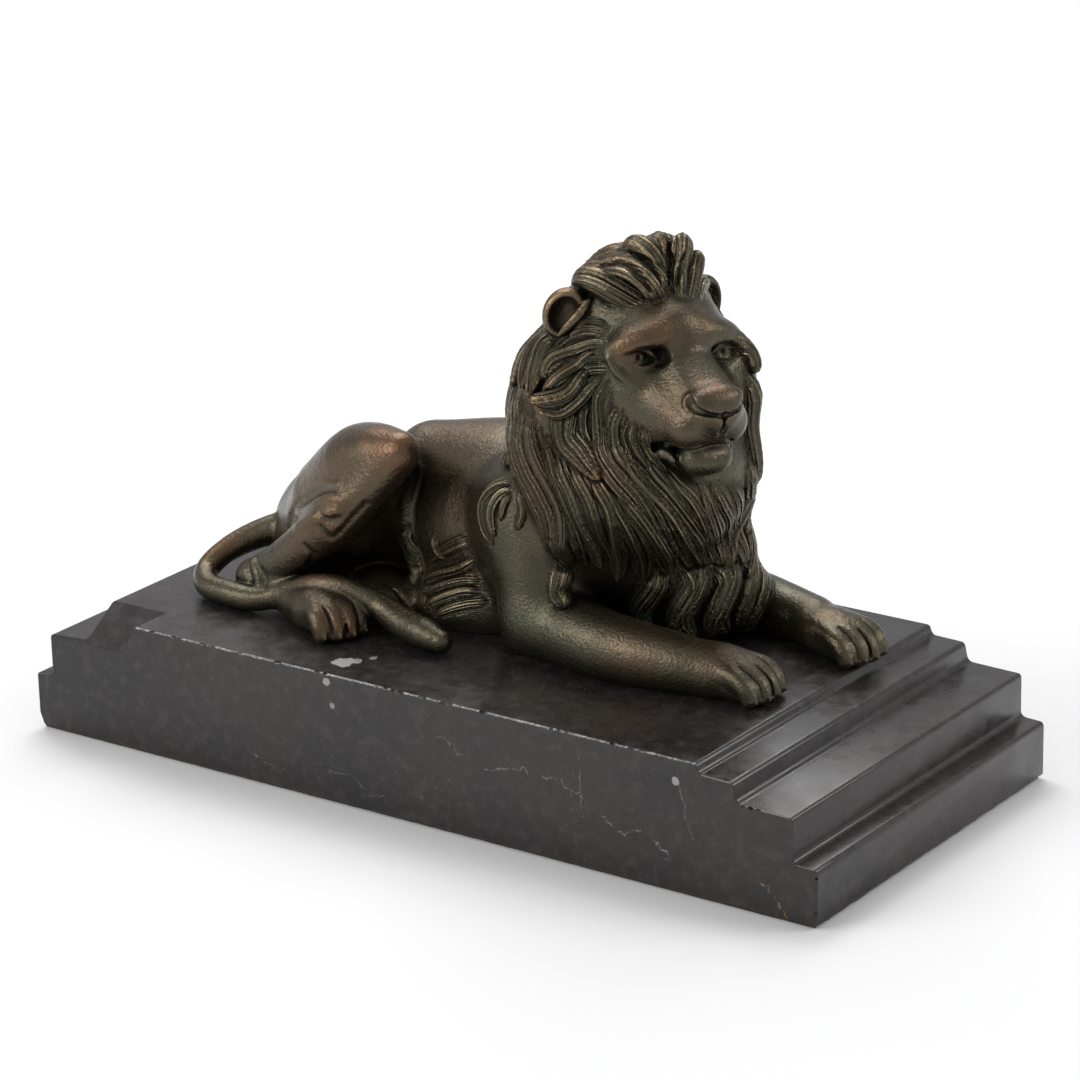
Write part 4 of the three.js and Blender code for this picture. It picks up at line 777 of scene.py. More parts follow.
# %% Long locks of the mane
DRAPED = [
    ((6.0, 3.0, 1.5, 0.5), [(21, -26, 91), (20, -29, 74), (26, -28, 58), (29, -27, 51), (30, -21, 34)]),
    ((4.6, 2.4, 0.8, 0.4), [(25, -28, 83), (31, -28, 65), (34, -26, 57), (36, -25, 50), (35, -18, 34)]),
    ((4.2, 2.8, 2.0, 0.5), [(29, -28, 73), (34, -27, 65), (39, -27, 58), (41, -20, 44), (40, -16, 35)]),
    ((3.6, 2.6, 1.6, 0.5), [(33, -27, 70), (41, -28, 65), (46, -28, 58), (45, -18, 41), (43, -14, 34)]),
    ((2.6, 2.6, 2.6, 0.5), [(43, -28, 68), (49, -28, 63), (52, -26, 57), (48, -16, 40), (44, -12, 30)]),
    ((5.2, 2.4, 1.4, 0.4), [(49, -28, 66), (54, -26, 58), (56, -22, 50), (54, -14, 40), (50, -8, 30)]),
    ((4.6, 3.0, 1.8, 0.4), [(50, -28, 67), (58, -25, 59), (61, -20, 51), (60, -11, 41), (57, -4, 31)]),
    ((4.8, 2.6, 2.2, 0.2), [(38, -24, 89), (35, -26, 82), (36, -26, 76), (42, -27, 72), (49, -28, 67)]),
    ((4.2, 2.4, 1.2, 0.3), [(46, -23, 89), (48, -26, 75), (54, -27, 68), (60, -24, 60), (59, -3, 34)]),
    ((4.0, 2.4, 1.2, 0.3), [(50, -24, 88), (52, -25, 74), (58, -25, 68), (64, -21, 60), (61, 1, 32)]),
    ((3.6, 2.4, 1.4, 0.3), [(54, -23, 83), (57, -25, 71), (62, -23, 64), (66, -18, 57), (63, 4, 32)]),
    ((4.2, 2.4, 1.2, 0.3), [(59, -22, 75), (63, -22, 68), (67, -19, 62), (67, 0, 41), (64, 6, 32)]),
    ((4.2, 2.4, 1.2, 0.3), [(65, -20, 72), (68, -17, 65), (71, -13, 59), (66, 5, 37), (65, 8, 32)]),
    ((4.2, 2.6, 1.5, 0.3), [(71, -10, 67), (73, -9, 58), (72, -4, 50), (67, 9, 36), (66, 11, 31)]),
    ((5.4, 2.6, 1.5, 0.3), [(74, -6, 64), (74, -4, 57), (72, 4, 48), (68, 14, 35), (67, 14, 30)]),
    ((5.4, 2.6, 1.5, 0.3), [(76, 1, 63), (75, 5, 54), (71, 13, 44), (68, 20, 34), (68, 21, 29)]),
    ((3.2, 3.4, 3.6, 0.6), [(42, -21, 101), (38, -22, 94), (35, -25, 90), (30, -27, 88), (27, -28, 88)]),
    ((3.2, 2.8, 2.4, 0.5), [(46, -22, 98), (41, -22, 92), (37, -24, 88), (33, -26, 85), (29, -28, 85)]),
    ((3.4, 1.9, 0.8, 0.2), [(51, -22, 107), (43, -19, 106), (37, -19, 104), (28, -24, 99), (27, -26, 94)]),
    ((2.6, 1.9, 1.0, 0.3), [(49, -22, 106), (41, -20, 102), (36, -22, 98), (31, -25, 94), (28, -27, 90)]),
    ((3.4, 2.4, 1.5, 0.2), [(21, -14, 105), (20, -19, 102), (20, -24, 97), (20, -26, 90)]),
    ((3.4, 2.4, 1.5, 0.2), [(28, -19, 106), (24, -20, 103), (24, -25, 97), (24, -27, 88)]),
    ((3.6, 2.4, 1.5, 0.2), [(20, -12, 110), (16, -14, 104), (14, -18, 99), (14, -21, 88)]),
    ((2.0, 1.5, 0.4, 0.2), [(13, -21, 57), (5, -20, 54), (-0.5, -21, 48), (0.5, -22.5, 41), (4.5, -24, 36)]),
    ((1.7, 1.5, 0.5, 0.2), [(12, -21.5, 54.5), (6.5, -21, 52), (3.6, -22.5, 46), (5.6, -24, 39)]),
    ((1.3, 1.5, 0.6, 0.2), [(10, -21, 53), (8, -22.5, 49), (7.6, -23.5, 44.5)]),
    ((1.5, 1.5, 0.4, 0.2), [(13, -21, 54), (15, -22.5, 49), (14, -23.5, 42.5)]),
    ((3.4, 3.4, 2.5, 0.3), [(30, -18, 33), (28, -20, 27), (29, -22, 22), (32, -23, 18)]),
]
for i, (size, path) in enumerate(DRAPED):
    add_lock(drape_lock(base, size, path), 400 + len(SHORT) + i)
print(len(locks), "locks so far")

# %% [markdown]
# The crest stands free over the brow, so its locks don't follow the mass. Deep hollows between them
# let them read as separate.

# %% Crest
def stand_lock(size, path, spans=14):
    """A lock that stands free of the mass on a path in the head's own frame."""
    width, thick, curl = size
    stations = []
    for i, place in enumerate(smooth_path(path, spans)):
        t = i / spans
        belly = np.sin(np.pi * (0.2 + 0.8 * t) ** 0.9)
        out = HEAD.turn @ unit(place - np.array([-6.0, 0, 4 - curl * 20 * t]))
        section = width * (0.35 + 0.65 * belly**0.5), thick * (0.4 + 0.6 * belly)
        stations.append((HEAD.out(place), out, *section))
    return stations


# (half width, thickness, curl), then the path in the head's own frame
CREST = [
    ((6.5, 3.4, 0.3), [(10, -7, 16.5), (4.5, -11.5, 20), (-1, -15, 22.5), (-6, -17.5, 23),
                       (-10.5, -18.5, 21.5)]),
    ((5.5, 3.2, 0.3), [(12, -2, 16), (12.5, -5.5, 23), (8.5, -8.5, 26.5), (1.5, -11, 27), (-5.5, -13, 25),
                       (-12, -15, 22.5)]),
    ((4.2, 3.2, 1.0), [(11.5, -1, 16.5), (9.5, -2, 26), (7.5, -4, 30.5), (3, -5.5, 32.5), (-0.5, -6.5, 31),
                       (-1.5, -7, 28.5)]),
    ((4.4, 3.4, 0.4), [(12, 0.5, 16.5), (9, 1, 26.5), (7.5, 1, 31.5), (6.5, 0.5, 34)]),
    ((3.6, 3.2, 0.8), [(11.5, 2.5, 18), (12, 4, 28), (12, 5, 32), (10.5, 6, 33.5), (8.5, 7, 32)]),
    ((3.6, 3.4, 0.2), [(13, 2, 17), (12.5, 3, 24.5), (11.5, 4, 29)]),
    ((4.4, 4.0, 0.3), [(12.5, 5, 17), (11, 8, 24), (11.5, 10.5, 28.5)]),
    ((4.2, 3.6, 0.3), [(12, 7, 15.5), (7, 12, 18.5), (4, 17, 18.5)]),
    ((6.0, 5.0, 0.3), [(4, -3, 20), (-3, -5, 26.5), (-9, -8, 26), (-18, -11, 21.5)]),
    ((6.0, 5.0, 0.3), [(4, 4, 21), (-1, 6, 28), (-8, 8, 28), (-17, 8, 23)]),
    ((5.5, 4.5, 0.3), [(4, 9, 18), (-2, 13, 23), (-9, 15, 23), (-17, 15, 18)]),
]
for i, (size, path) in enumerate(CREST):
    add_lock(stand_lock(size, path), 500 + i)
GAPS = [
    [(36.3, -9.4, 126.5, 0.5), (46.1, -10.3, 129.2, 1.3), (53, -11.2, 126.1, 1.2), (56.1, -10.1, 121.3, 0.4)],
    [(45.7, -5.8, 131.5, 0.5), (52.9, -6.9, 129.4, 1.2), (57.9, -6.9, 122.9, 0.4)],
    [(54.9, 1.6, 133.3, 0.5), (57.3, -1.1, 128.6, 1.1), (58.4, -3.8, 122.3, 0.4)],
    [(60.9, 1.2, 131.4, 0.5), (60.3, -0.7, 126.8, 1.1), (60.1, -2.5, 121.6, 0.4)],
]
for path in GAPS:
    clay.take(limb(BODY, path, 12), 0.8)
print(len(locks), "locks in all")

# %% [markdown]
# # The face
#
# The eye carries the expression: a heavy brow that rises to the middle, a ball set deep in its
# socket between two lids, a drilled pupil, and a loose fold of skin below.

# %% Brow and eyes
def eye(side, height):
    """Brow, socket, ball, two lids and the fold under them."""

    def curve(points, spans=12):
        return limb(HEAD, [(x, side * y, z + height, r) for x, y, z, r in points], spans)

    brow = [
        (13.4, 20.4, 1.8, 1.6), (17, 17.4, 4.6, 2.5), (19.8, 13, 6.2, 2.9), (20.8, 8.2, 7.4, 2.8),
        (20, 4, 8.2, 2.4),
    ]
    clay.add(curve(brow), 7)
    clay.take(ellipsoid(HEAD, (22.8, 14 * side, height + 0.4), (5.2, 6.8, 3), 0, 0, -6 * side), 2)
    clay.take(ellipsoid(HEAD, (21.8, 8.8 * side, height), (2.4, 1.7, 1.9)), 1.6)
    clay.add(ellipsoid(HEAD, (14.3, 15.2 * side, height), (5, 5.8, 4.8)), 0.5)
    upper = [
        (14.8, 21.6, 0.8, 0.7), (18.2, 18.6, 3.4, 0.9), (20, 14.4, 3.6, 1), (20.2, 11, 1.6, 0.8),
        (19.8, 8.2, -1.4, 0.6),
    ]
    lower = [
        (14.8, 21.6, 0.8, 0.6), (17.6, 18.6, -1.7, 0.7), (19.2, 14.4, -2.8, 0.8), (19.6, 11, -2.6, 0.7),
        (19.8, 8.2, -1.4, 0.6),
    ]
    for lid in (upper, lower):
        clay.add(curve(lid), 0.7)
    clay.take(ellipsoid(HEAD, (19.7, 14.4 * side, height + 0.3), (1.3, 1.3, 1.3)), 0.4)
    bag = [
        (14.4, 22.4, 0.4, 0.9), (16, 21.4, -3, 1.1), (18.8, 18.8, -6, 1.1), (21.2, 15.6, -7.8, 0.9),
        (23, 12.4, -8.8, 0.4),
    ]
    clay.add(curve(bag), 1.3)


clay.add(ellipsoid(HEAD, (17, 0, 9), (6.4, 5, 7)), 6)
eye(NEAR, 1.5)
eye(FAR_SIDE, -0.4)
clay.add(ellipsoid(HEAD, (18.6, 0.3, 6), (5.4, 4.4, 7)), 5)
print(filled())

# %% [markdown]
# The nose pad overhangs two comma-shaped nostrils, and a groove runs from it down to the mouth. The
# mouth is a little open: the slit widens to its corner, where the lip folds over, and the lower lip
# stands forward.

# %% Nose and mouth
clay.add(ellipsoid(HEAD, (40.2, 0, -7.8), (4.4, 8.7, 3.5)), 2.6)
clay.add(ellipsoid(HEAD, (41.4, 0, -9.6), (3.2, 4.4, 3)), 1.5)
for side in (NEAR, FAR_SIDE):
    clay.add(ellipsoid(HEAD, (38.2, 7 * side, -9.2), (3.6, 2.8, 3)), 1)
    nostril = [
        (38.4, 10 * side, -6.4, 0.9), (39.4, 9.4 * side, -8.2, 2.2), (41.2, 8.2 * side, -10.2, 1.6),
        (43.2, 6 * side, -11.3, 0.9), (44.6, 3 * side, -12.2, 0.7), (45, 0, -12.8, 0.7),
    ]
    clay.take(limb(HEAD, nostril, 12), 0.6)
    slit = [
        (42, 0, -21.6, 0.4), (39, 5 * side, -22.2, 0.5), (34, 9.6 * side, -22.4, 0.6),
        (28, 11.6 * side, -23.2, 0.7), (25, 12 * side, -24.8, 1.7), (23.5, 12 * side, -26, 1.2),
    ]
    clay.take(limb(HEAD, slit, 20), 1)
    fold = [(24.5, 12 * side, -27.8, 1.2), (27, 11 * side, -26.6, 1.9), (30.5, 9 * side, -27.8, 1.7)]
    clay.add(limb(HEAD, fold, 8), 0.8)
    gap = [(30.6, 9.6 * side, -24.8, 0.5), (31.6, 8.6 * side, -28, 0.8), (31, 7.6 * side, -32, 0.5)]
    clay.take(limb(HEAD, gap, 8), 1)
clay.add(ellipsoid(HEAD, (30, 0, -28.4), (8, 7, 5.6)), 1)
clay.add(limb(HEAD, [(33.6, -3.4, -28, 4.9), (33.6, 3.4, -28, 4.9)], 2), 2)
clay.take(limb(HEAD, [(44.6, 0, -12, 0.5), (43, 0, -17, 0.6), (41.5, 0, -22, 0.7)], 8), 1.2)
print(filled())

# %% [markdown]
# The ears are round cups. Strands of hair hang across the near one's hollow.

# %% Ears
EAR_TUFT = [
    [(1.5, 5.5, 6.5, 1.1), (4.6, 3.6, 2.5, 1.7), (4.6, 1.6, -2.5, 1.4), (3, 0.4, -6.5, 0.7)],
    [(1, 7, 3.5, 1.4), (4, 6, -0.5, 1.7), (4.2, 4, -4.5, 1.0)],
]


def ear(centre, yaw, roll, tuft=()):
    """A round ear, hollow in front, with strands of hair that hang across the hollow."""
    spot = Frame(HEAD.out(centre), HEAD_YAW + yaw, 0, roll)
    clay.add(ellipsoid(spot, (0, 0, 0), (5, 6.8, 8.2)), 1.5)
    clay.take(ellipsoid(spot, (4.8, -0.4, 0), (6, 4.9, 6.3)), 1.8)
    for strand in tuft:
        clay.add(limb(spot, strand, 10), 0.6)


ear((-6, -26, 12.3), -26, -22, EAR_TUFT)
ear((-7, 23.5, 9.5), 26, 0)
height = clay.axes[2][None, None, :]
np.maximum(clay.values, -height, out=clay.values)
print("flat underneath, and", filled())

# %% [markdown]
# # From clay to a mesh
#
# The surface is where the distance is zero. Each small cube of the grid that the surface crosses
# gets one vertex at the mean of its crossings, and vertices of neighbouring cubes are joined into
# quads. This keeps the carving crisper than a voxel remesh of the same size.

# %% Surface net
def surface_net(field):
    values = field.values
    inside = values < 0
    corners = [(a, b, c) for a in (0, 1) for b in (0, 1) for c in (0, 1)]
    shape = [n - 1 for n in values.shape]

    def shifted(array, corner):
        return array[tuple(slice(o, o + n) for o, n in zip(corner, shape))]

    count = sum(shifted(inside, c).astype(np.int8) for c in corners)
    cells = np.argwhere((count > 0) & (count < 8))
    held = {c: values[tuple((cells + c).T)] for c in corners}
    total = np.zeros((len(cells), 3), np.float32)
    number = np.zeros(len(cells), np.float32)
    for a in corners:
        for axis in range(3):
            if a[axis]:
                continue
            b = tuple(v + (n == axis) for n, v in enumerate(a))
            va, vb = held[a], held[b]
            crossed = (va < 0) != (vb < 0)
            share = np.where(crossed, va / np.where(crossed, va - vb, 1), 0)
            for n in range(3):
                total[:, n] += np.where(crossed, a[n] + (share if n == axis else 0), 0)
            number += crossed
    share = total / number[:, None]
    points = np.empty_like(share)
    for n, axis in enumerate(field.axes):
        low = axis[cells[:, n]]
        points[:, n] = low + share[:, n] * (axis[cells[:, n] + 1] - low)
    index = np.full(shape, -1, np.int32)
    index[tuple(cells.T)] = np.arange(len(cells), dtype=np.int32)
    quads = []
    for axis in range(3):
        first, second = [n for n in range(3) if n != axis]
        low = [slice(1, n) for n in shape]
        low[axis] = slice(0, shape[axis])
        high = list(low)
        high[axis] = slice(1, shape[axis] + 1)
        one, other = inside[tuple(low)], inside[tuple(high)]
        spots = np.argwhere(one != other)
        spots[:, first] += 1
        spots[:, second] += 1
        around = []
        for da, db in ((0, 0), (1, 0), (1, 1), (0, 1)):
            cell = spots.copy()
            cell[:, first] -= da
            cell[:, second] -= db
            around.append(index[tuple(cell.T)])
        quad = np.stack(around, 1)
        flip = inside[tuple(spots.T)] == (axis == 1)
        quad[flip] = quad[flip][:, ::-1]
        quads.append(quad)
    return points, np.concatenate(quads)


points, quads = surface_net(clay)
points[:, 2] = np.maximum(points[:, 2], 0)
print("net", len(points), "vertices", len(quads), "quads")

# %% [markdown]
# The net is even, and most of it is on plain skin. Collapsing edges where the surface is flat leaves
# a mesh that is light enough to open elsewhere and still sharp at the hair.

# %% Thin out the mesh where it is plain
def mesh_object(name, points, faces):
    mesh = bpy.data.meshes.new(name)
    mesh.vertices.add(len(points))
    mesh.vertices.foreach_set("co", np.asarray(points, np.float32).ravel())
    size = faces.shape[1]
    mesh.loops.add(len(faces) * size)
    mesh.loops.foreach_set("vertex_index", faces.astype(np.int32).ravel())
    mesh.polygons.add(len(faces))
    mesh.polygons.foreach_set("loop_start", np.arange(0, len(faces) * size, size, dtype=np.int32))
    mesh.update(calc_edges=True)
    mesh.polygons.foreach_set("use_smooth", np.ones(len(faces), bool))
    made = bpy.data.objects.new(name, mesh)
    bpy.context.scene.collection.objects.link(made)
    return made


def thinned(points, faces, wanted):
    """The same surface with about the wanted number of triangles, kept where it bends most."""
    source = mesh_object("clay net", points, faces)
    thin = source.modifiers.new("thin", "DECIMATE")
    thin.ratio = min(1.0, wanted / (2 * len(faces)))
    result = source.evaluated_get(bpy.context.evaluated_depsgraph_get()).to_mesh()
    bm = bmesh.new()
    bm.from_mesh(result)
    bmesh.ops.triangulate(bm, faces=bm.faces)
    bm.verts.index_update()
    made_points = np.array([v.co[:] for v in bm.verts])
    made_faces = np.array([[v.index for v in f.verts] for f in bm.faces], np.int32)
    bm.free()
    bpy.data.objects.remove(source)
    return made_points, made_faces


LION_TRIANGLES = 380_000
points, faces = thinned(points, quads, LION_TRIANGLES)
print("lion", len(points), "vertices", len(faces), "triangles")

# %% [markdown]
# # What the surface remembers
#
# Old bronze isn't one colour. Hands and cloths rub the high edges down to bright metal, and the
# hollows are painted dark as shade. Both follow from the shape, so they are measured on the clay here
# and kept on each vertex: how proud it stands over its surroundings, and how open it is to the air.

# %% Measure wear and depth
def outward_at(points, reach=0.45):
    steps = np.eye(3) * reach
    slope = np.stack([clay.at(points + s) - clay.at(points - s) for s in steps], 1)
    return slope / (np.linalg.norm(slope, axis=1, keepdims=True) + 1e-9)


def proudness(points, reach):
    """Above zero on ridges and edges, below zero in grooves."""
    steps = np.concatenate([np.eye(3), -np.eye(3)]) * reach
    total = sum(clay.at(points + s) for s in steps)
    return (total - 6 * clay.at(points)) / reach


def openness(points, normals):
    """1 where nothing stands in front of the surface, 0 deep in a fold."""
    shares = [np.clip(clay.at(points + normals * far) / far, 0, 1) for far in (1.5, 4, 9)]
    return sum(shares) / len(shares)


normals = outward_at(points)
measures = {
    "proud": proudness(points, 0.8), "worn": proudness(points, 2.0), "open": openness(points, normals),
}
for name, values in measures.items():
    print(name, "from", np.percentile(values, 5).round(2), "to", np.percentile(values, 95).round(2))

# %% [markdown]
# Each vertex also keeps which strand of hair it lies on, counted across the lock.

# %% Measure the strands
def strands(points):
    """For each vertex, how far it is across the strands of the lock it lies on, and if it lies on one."""
    nearest = np.full(len(points), 1.0, np.float32)
    phase = np.zeros(len(points), np.float32)
    for lock in locks:
        for i, (lo, hi, _) in enumerate(lock.pieces):
            at = np.nonzero(((points > lo - 0.5) & (points < hi + 0.5)).all(axis=1))[0]
            if not len(at):
                continue
            d, strand, _ = lock.measure(i, *points[at].T)
            better = np.abs(d) < nearest[at]
            nearest[at[better]] = np.abs(d[better])
            phase[at[better]] = strand[better]
    return phase, np.clip(1.6 - 2 * nearest, 0, 1)


measures["strand"], measures["hair"] = strands(points)
print(f"{(measures['hair'] > 0.5).mean():.0%} of the vertices lie on hair")

# %% [markdown]
# Last, where hands have been: the knee, the back, the bend of the tail, the paws, the curls at the
# cheek, the brow, the nose and the rims of the ears.

# %% Where hands have rubbed
# Frame, place, reach in mm, and how much
RUBS = [
    (BODY, (-34, -23, 63), 13, 1.0), (BODY, (-60, -22, 42), 24, 0.6), (BODY, (-20, -6, 42), 18, 0.4),
    (BODY, (-30, 8, 58), 22, 0.5), (BODY, (-108, -24, 12), 10, 0.6), (BODY, (-60, -34, 18), 12, 0.5),
    (BODY, (-40, -44, 4), 9, 0.8), (BODY, (84, -16, 13), 12, 0.4), (BODY, (94, 30, 14), 12, 0.4),
    (BODY, (27, -28, 88), 6, 1.0), (BODY, (49, -28, 68), 7, 0.8), (BODY, (22, -28, 62), 8, 0.6),
    (BODY, (60, -26, 12), 14, 0.3), (HEAD, (39.5, 0, -4.6), 5.5, 0.8), (HEAD, (20, -17.5, 6), 6, 0.9),
    (HEAD, (23, -9, 11), 6, 0.7), (HEAD, (33, -10, -13), 8, 0.5), (HEAD, (20, -9, 14), 9, 0.4),
    (HEAD, (22, 6, 10), 6, 0.5), (HEAD, (-6, -29, 17), 8, 0.9), (HEAD, (-2, -25, 14), 5, 0.8),
    (HEAD, (-5, -10, 26), 9, 0.6), (HEAD, (8, 0, 34), 6, 0.3),
]


def rubbed(points):
    """How much hands and cloths have rubbed each place: the spots that stand out most."""
    total = np.zeros(len(points))
    for frame, place, reach, share in RUBS:
        off = np.linalg.norm(points - frame.out(place), axis=1) / reach
        total = np.maximum(total, share * np.exp(-off ** 2))
    return total


measures["rubbed"] = rubbed(points)
print(f"{(measures['rubbed'] > 0.3).mean():.0%} of the vertices are rubbed")

# %% [markdown]
# # Two castings
#
# The lion is kept as two meshes that meet at a plane behind the mane, because a mesh of moderate size
# is easier to open elsewhere. Their normals come from the clay itself, so no seam shows.

# %% Make the lion's meshes
SLAB_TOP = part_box("lion")[0][2] / MM


def lion_piece(name, chosen):
    used = np.unique(faces[chosen])
    lookup = np.zeros(len(points), np.int32)
    lookup[used] = np.arange(len(used))
    places = (points[used] + (0, 0, SLAB_TOP)) * MM
    piece = mesh_object(name, places, lookup[faces[chosen]])
    for label, values in measures.items():
        attribute = piece.data.attributes.new(label, "FLOAT", "POINT")
        attribute.data.foreach_set("value", values[used].astype(np.float32))
    piece.data.normals_split_custom_set_from_vertices(normals[used].tolist())
    return piece


centre_x = points[faces][:, :, 0].mean(axis=1)
split_x = np.median(centre_x)
lion_pieces = [
    lion_piece("lion_forequarters", centre_x >= split_x),
    lion_piece("lion_hindquarters", centre_x < split_x),
]
for piece in lion_pieces:
    print(piece.name, len(piece.data.polygons), "triangles")

# %% [markdown]
# # The marble block
#
# The block is sawn and ground from black marble: three shallow steps in front, two high ones behind,
# and one slanted facet at a rear corner. A grinder leaves a narrow slanting band over each riser and
# a soft hollow below it, so the side outline is drawn with both and pushed across the width. A bevel
# modifier could round each edge alike, but it couldn't tell the nosing from the hollow.

# %% Outline of the steps
BLOCK = [np.array(corner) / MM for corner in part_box("marble_base")]
FRONT, BACK = BLOCK[1][0], BLOCK[0][0]
HALF_WIDTH = BLOCK[1][1]
TOP, UNDER = BLOCK[1][2], BLOCK[0][2]
NOSING, HOLLOW = 1.6, 2.0


def rounded_corner(before, here, after, size, steps=5):
    """Points that take a corner off: a straight band for a nosing, or an arc for a hollow."""
    before, here, after = (np.array(p, float) for p in (before, here, after))
    start = here + unit(before - here) * size
    end = here + unit(after - here) * size
    shares = np.linspace(0, 1, steps + 1)
    return [(1 - t) ** 2 * start + 2 * t * (1 - t) * here + t * t * end for t in shares]


def step_outline():
    corners = [
        (BACK, UNDER + 4.2, 0.8), (BACK + 1.6, UNDER, 0.5), (FRONT, UNDER, 0.9),
        (FRONT, 19.2, NOSING), (FRONT - 8.2, 19.6, HOLLOW),
        (FRONT - 8.2, 33.8, NOSING), (FRONT - 27.5, 34.2, HOLLOW),
        (FRONT - 28.7, 40.3, NOSING), (FRONT - 40.4, 40.6, 1.2),
        (FRONT - 41.6, TOP, 1.2), (BACK + 21.5, TOP, 0.9),
        (BACK + 21.5, 34.4, HOLLOW), (BACK + 6.8, 33.8, 0.9),
        (BACK + 6.8, 20.0, HOLLOW), (BACK, 19.2, 0.9),
    ]
    outline = []
    for i, (x, z, size) in enumerate(corners):
        before, after = corners[i - 1][:2], corners[(i + 1) % len(corners)][:2]
        outline += rounded_corner(before, (x, z), after, size)
    return np.array(outline)


outline = step_outline()
print("outline", len(outline), "points")

# %% [markdown]
# The outline is swept across the width in a few rings. The outermost are drawn in a little, which
# takes the edge off both long sides.

# %% Push the outline across
# For each ring, how far in from the side it lies and how far it is drawn in
RINGS = [(0.0, 0.4), (0.15, 0.13), (0.5, 0.0)]


def block_mesh():
    """The outline swept from side to side, its rim drawn in a little at both sides."""
    rings = [(depth - HALF_WIDTH, inset) for depth, inset in RINGS]
    rings += [(-y, inset) for y, inset in reversed(rings)]
    bm = bmesh.new()
    loops = []
    for y, inset in rings:
        along = np.roll(outline, -1, axis=0) - np.roll(outline, 1, axis=0)
        inward = np.stack([-along[:, 1], along[:, 0]], 1)
        inward = inward / (np.linalg.norm(inward, axis=1, keepdims=True) + 1e-9)
        spots = outline + inward * inset
        loops.append([bm.verts.new(Vector((x, y, z)) * MM) for x, z in spots])
    count = len(outline)
    for a, b in zip(loops, loops[1:]):
        for i in range(count):
            j = (i + 1) % count
            bm.faces.new((a[i], a[j], b[j], b[i]))
    bm.faces.new(loops[0][::-1])
    bm.faces.new(loops[-1])
    bmesh.ops.remove_doubles(bm, verts=bm.verts, dist=1e-6)
    bmesh.ops.recalc_face_normals(bm, faces=bm.faces)
    return bm


def object_of(bm, name):
    mesh = bpy.data.meshes.new(name)
    bm.to_mesh(mesh)
    bm.free()
    made = bpy.data.objects.new(name, mesh)
    bpy.context.scene.collection.objects.link(made)
    return made


marble_block = object_of(block_mesh(), "marble_block")
print("plain block", len(marble_block.data.polygons), "faces")

# %% [markdown]
# The slanted facet is cut off with a block of waste, as a saw would take it.

# %% Cut the corner off
CUT_FRONT, CUT_DEPTH, CUT_LOW, CUT_END_SLANT = -106, 15.5, 33.2, 7


def corner_block():
    """The waste over the slanted facet at the near rear corner."""
    rise = (TOP - CUT_LOW) / CUT_DEPTH
    reach, back = 30, BACK - 20
    lean = CUT_END_SLANT / (TOP - CUT_LOW)
    side = -HALF_WIDTH
    section = [
        (side - reach, CUT_LOW - rise * reach), (side + CUT_DEPTH + reach, TOP + rise * reach),
        (side - reach, TOP + rise * reach),
    ]
    bm = bmesh.new()
    ends = []
    for slanted in (False, True):
        row = []
        for y, z in section:
            x = CUT_FRONT + lean * (z - TOP) if slanted else back
            row.append(bm.verts.new(Vector((x, y, z)) * MM))
        ends.append(row)
    bm.faces.new(ends[0])
    bm.faces.new(ends[1][::-1])
    for i in range(3):
        j = (i + 1) % 3
        bm.faces.new((ends[0][i], ends[1][i], ends[1][j], ends[0][j]))
    bmesh.ops.recalc_face_normals(bm, faces=bm.faces)
    return object_of(bm, "corner waste")


def cut_with(target, tool, own=False):
    boolean = target.modifiers.new("cut", "BOOLEAN")
    boolean.object = tool
    boolean.solver = "EXACT"
    boolean.use_self = own
    cut = bpy.data.meshes.new_from_object(target.evaluated_get(bpy.context.evaluated_depsgraph_get()))
    target.modifiers.clear()
    target.data = cut
    bpy.data.objects.remove(tool)


cut_with(marble_block, corner_block())
print("with its facet", len(marble_block.data.polygons), "faces")

# %% [markdown]
# Polished marble chips at its edges. Small crushed balls along the near upper edge and the corners
# are taken out of it, and then it is shaded smooth with crisp edges.

# %% Chip the edges
def chips():
    """Small knocks along the near upper edges and the corners, where handling has bruised the stone."""
    rng = np.random.default_rng(11)
    bm = bmesh.new()
    spots = [(x, -HALF_WIDTH, TOP) for x in rng.uniform(-105, 100, 34)]
    spots += [(FRONT, -HALF_WIDTH, z) for z in rng.uniform(3, 18, 5)]
    spots += [(x, -HALF_WIDTH, 33.8) for x in rng.uniform(FRONT - 26, FRONT - 9, 4)]
    spots += [(FRONT, y, 19.2) for y in rng.uniform(-60, 60, 5)]
    for x, y, z in spots:
        size = rng.uniform(0.35, 0.95)
        made = bmesh.ops.create_icosphere(bm, subdivisions=1, radius=size * MM)["verts"]
        for v in made:
            v.co.x *= rng.uniform(1.0, 2.6)
            v.co += Vector((x, y, z)) * MM + Vector(rng.uniform(-0.15, 0.15, 3)) * MM
    return object_of(bm, "chips")


cut_with(marble_block, chips(), own=True)
for polygon in marble_block.data.polygons:
    polygon.use_smooth = True
marble_block.data.set_sharp_from_angle(angle=np.radians(28))
print("marble", len(marble_block.data.polygons), "faces")

# %% [markdown]
# # The felt
#
# A pad of black felt is glued under the block so that it doesn't scratch a table. It is cut by hand a
# little inside the marble, and a thread of glue and frayed fibre shows along its edge.

# %% Felt pad
FELT = [np.array(corner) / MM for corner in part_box("felt_pad")]


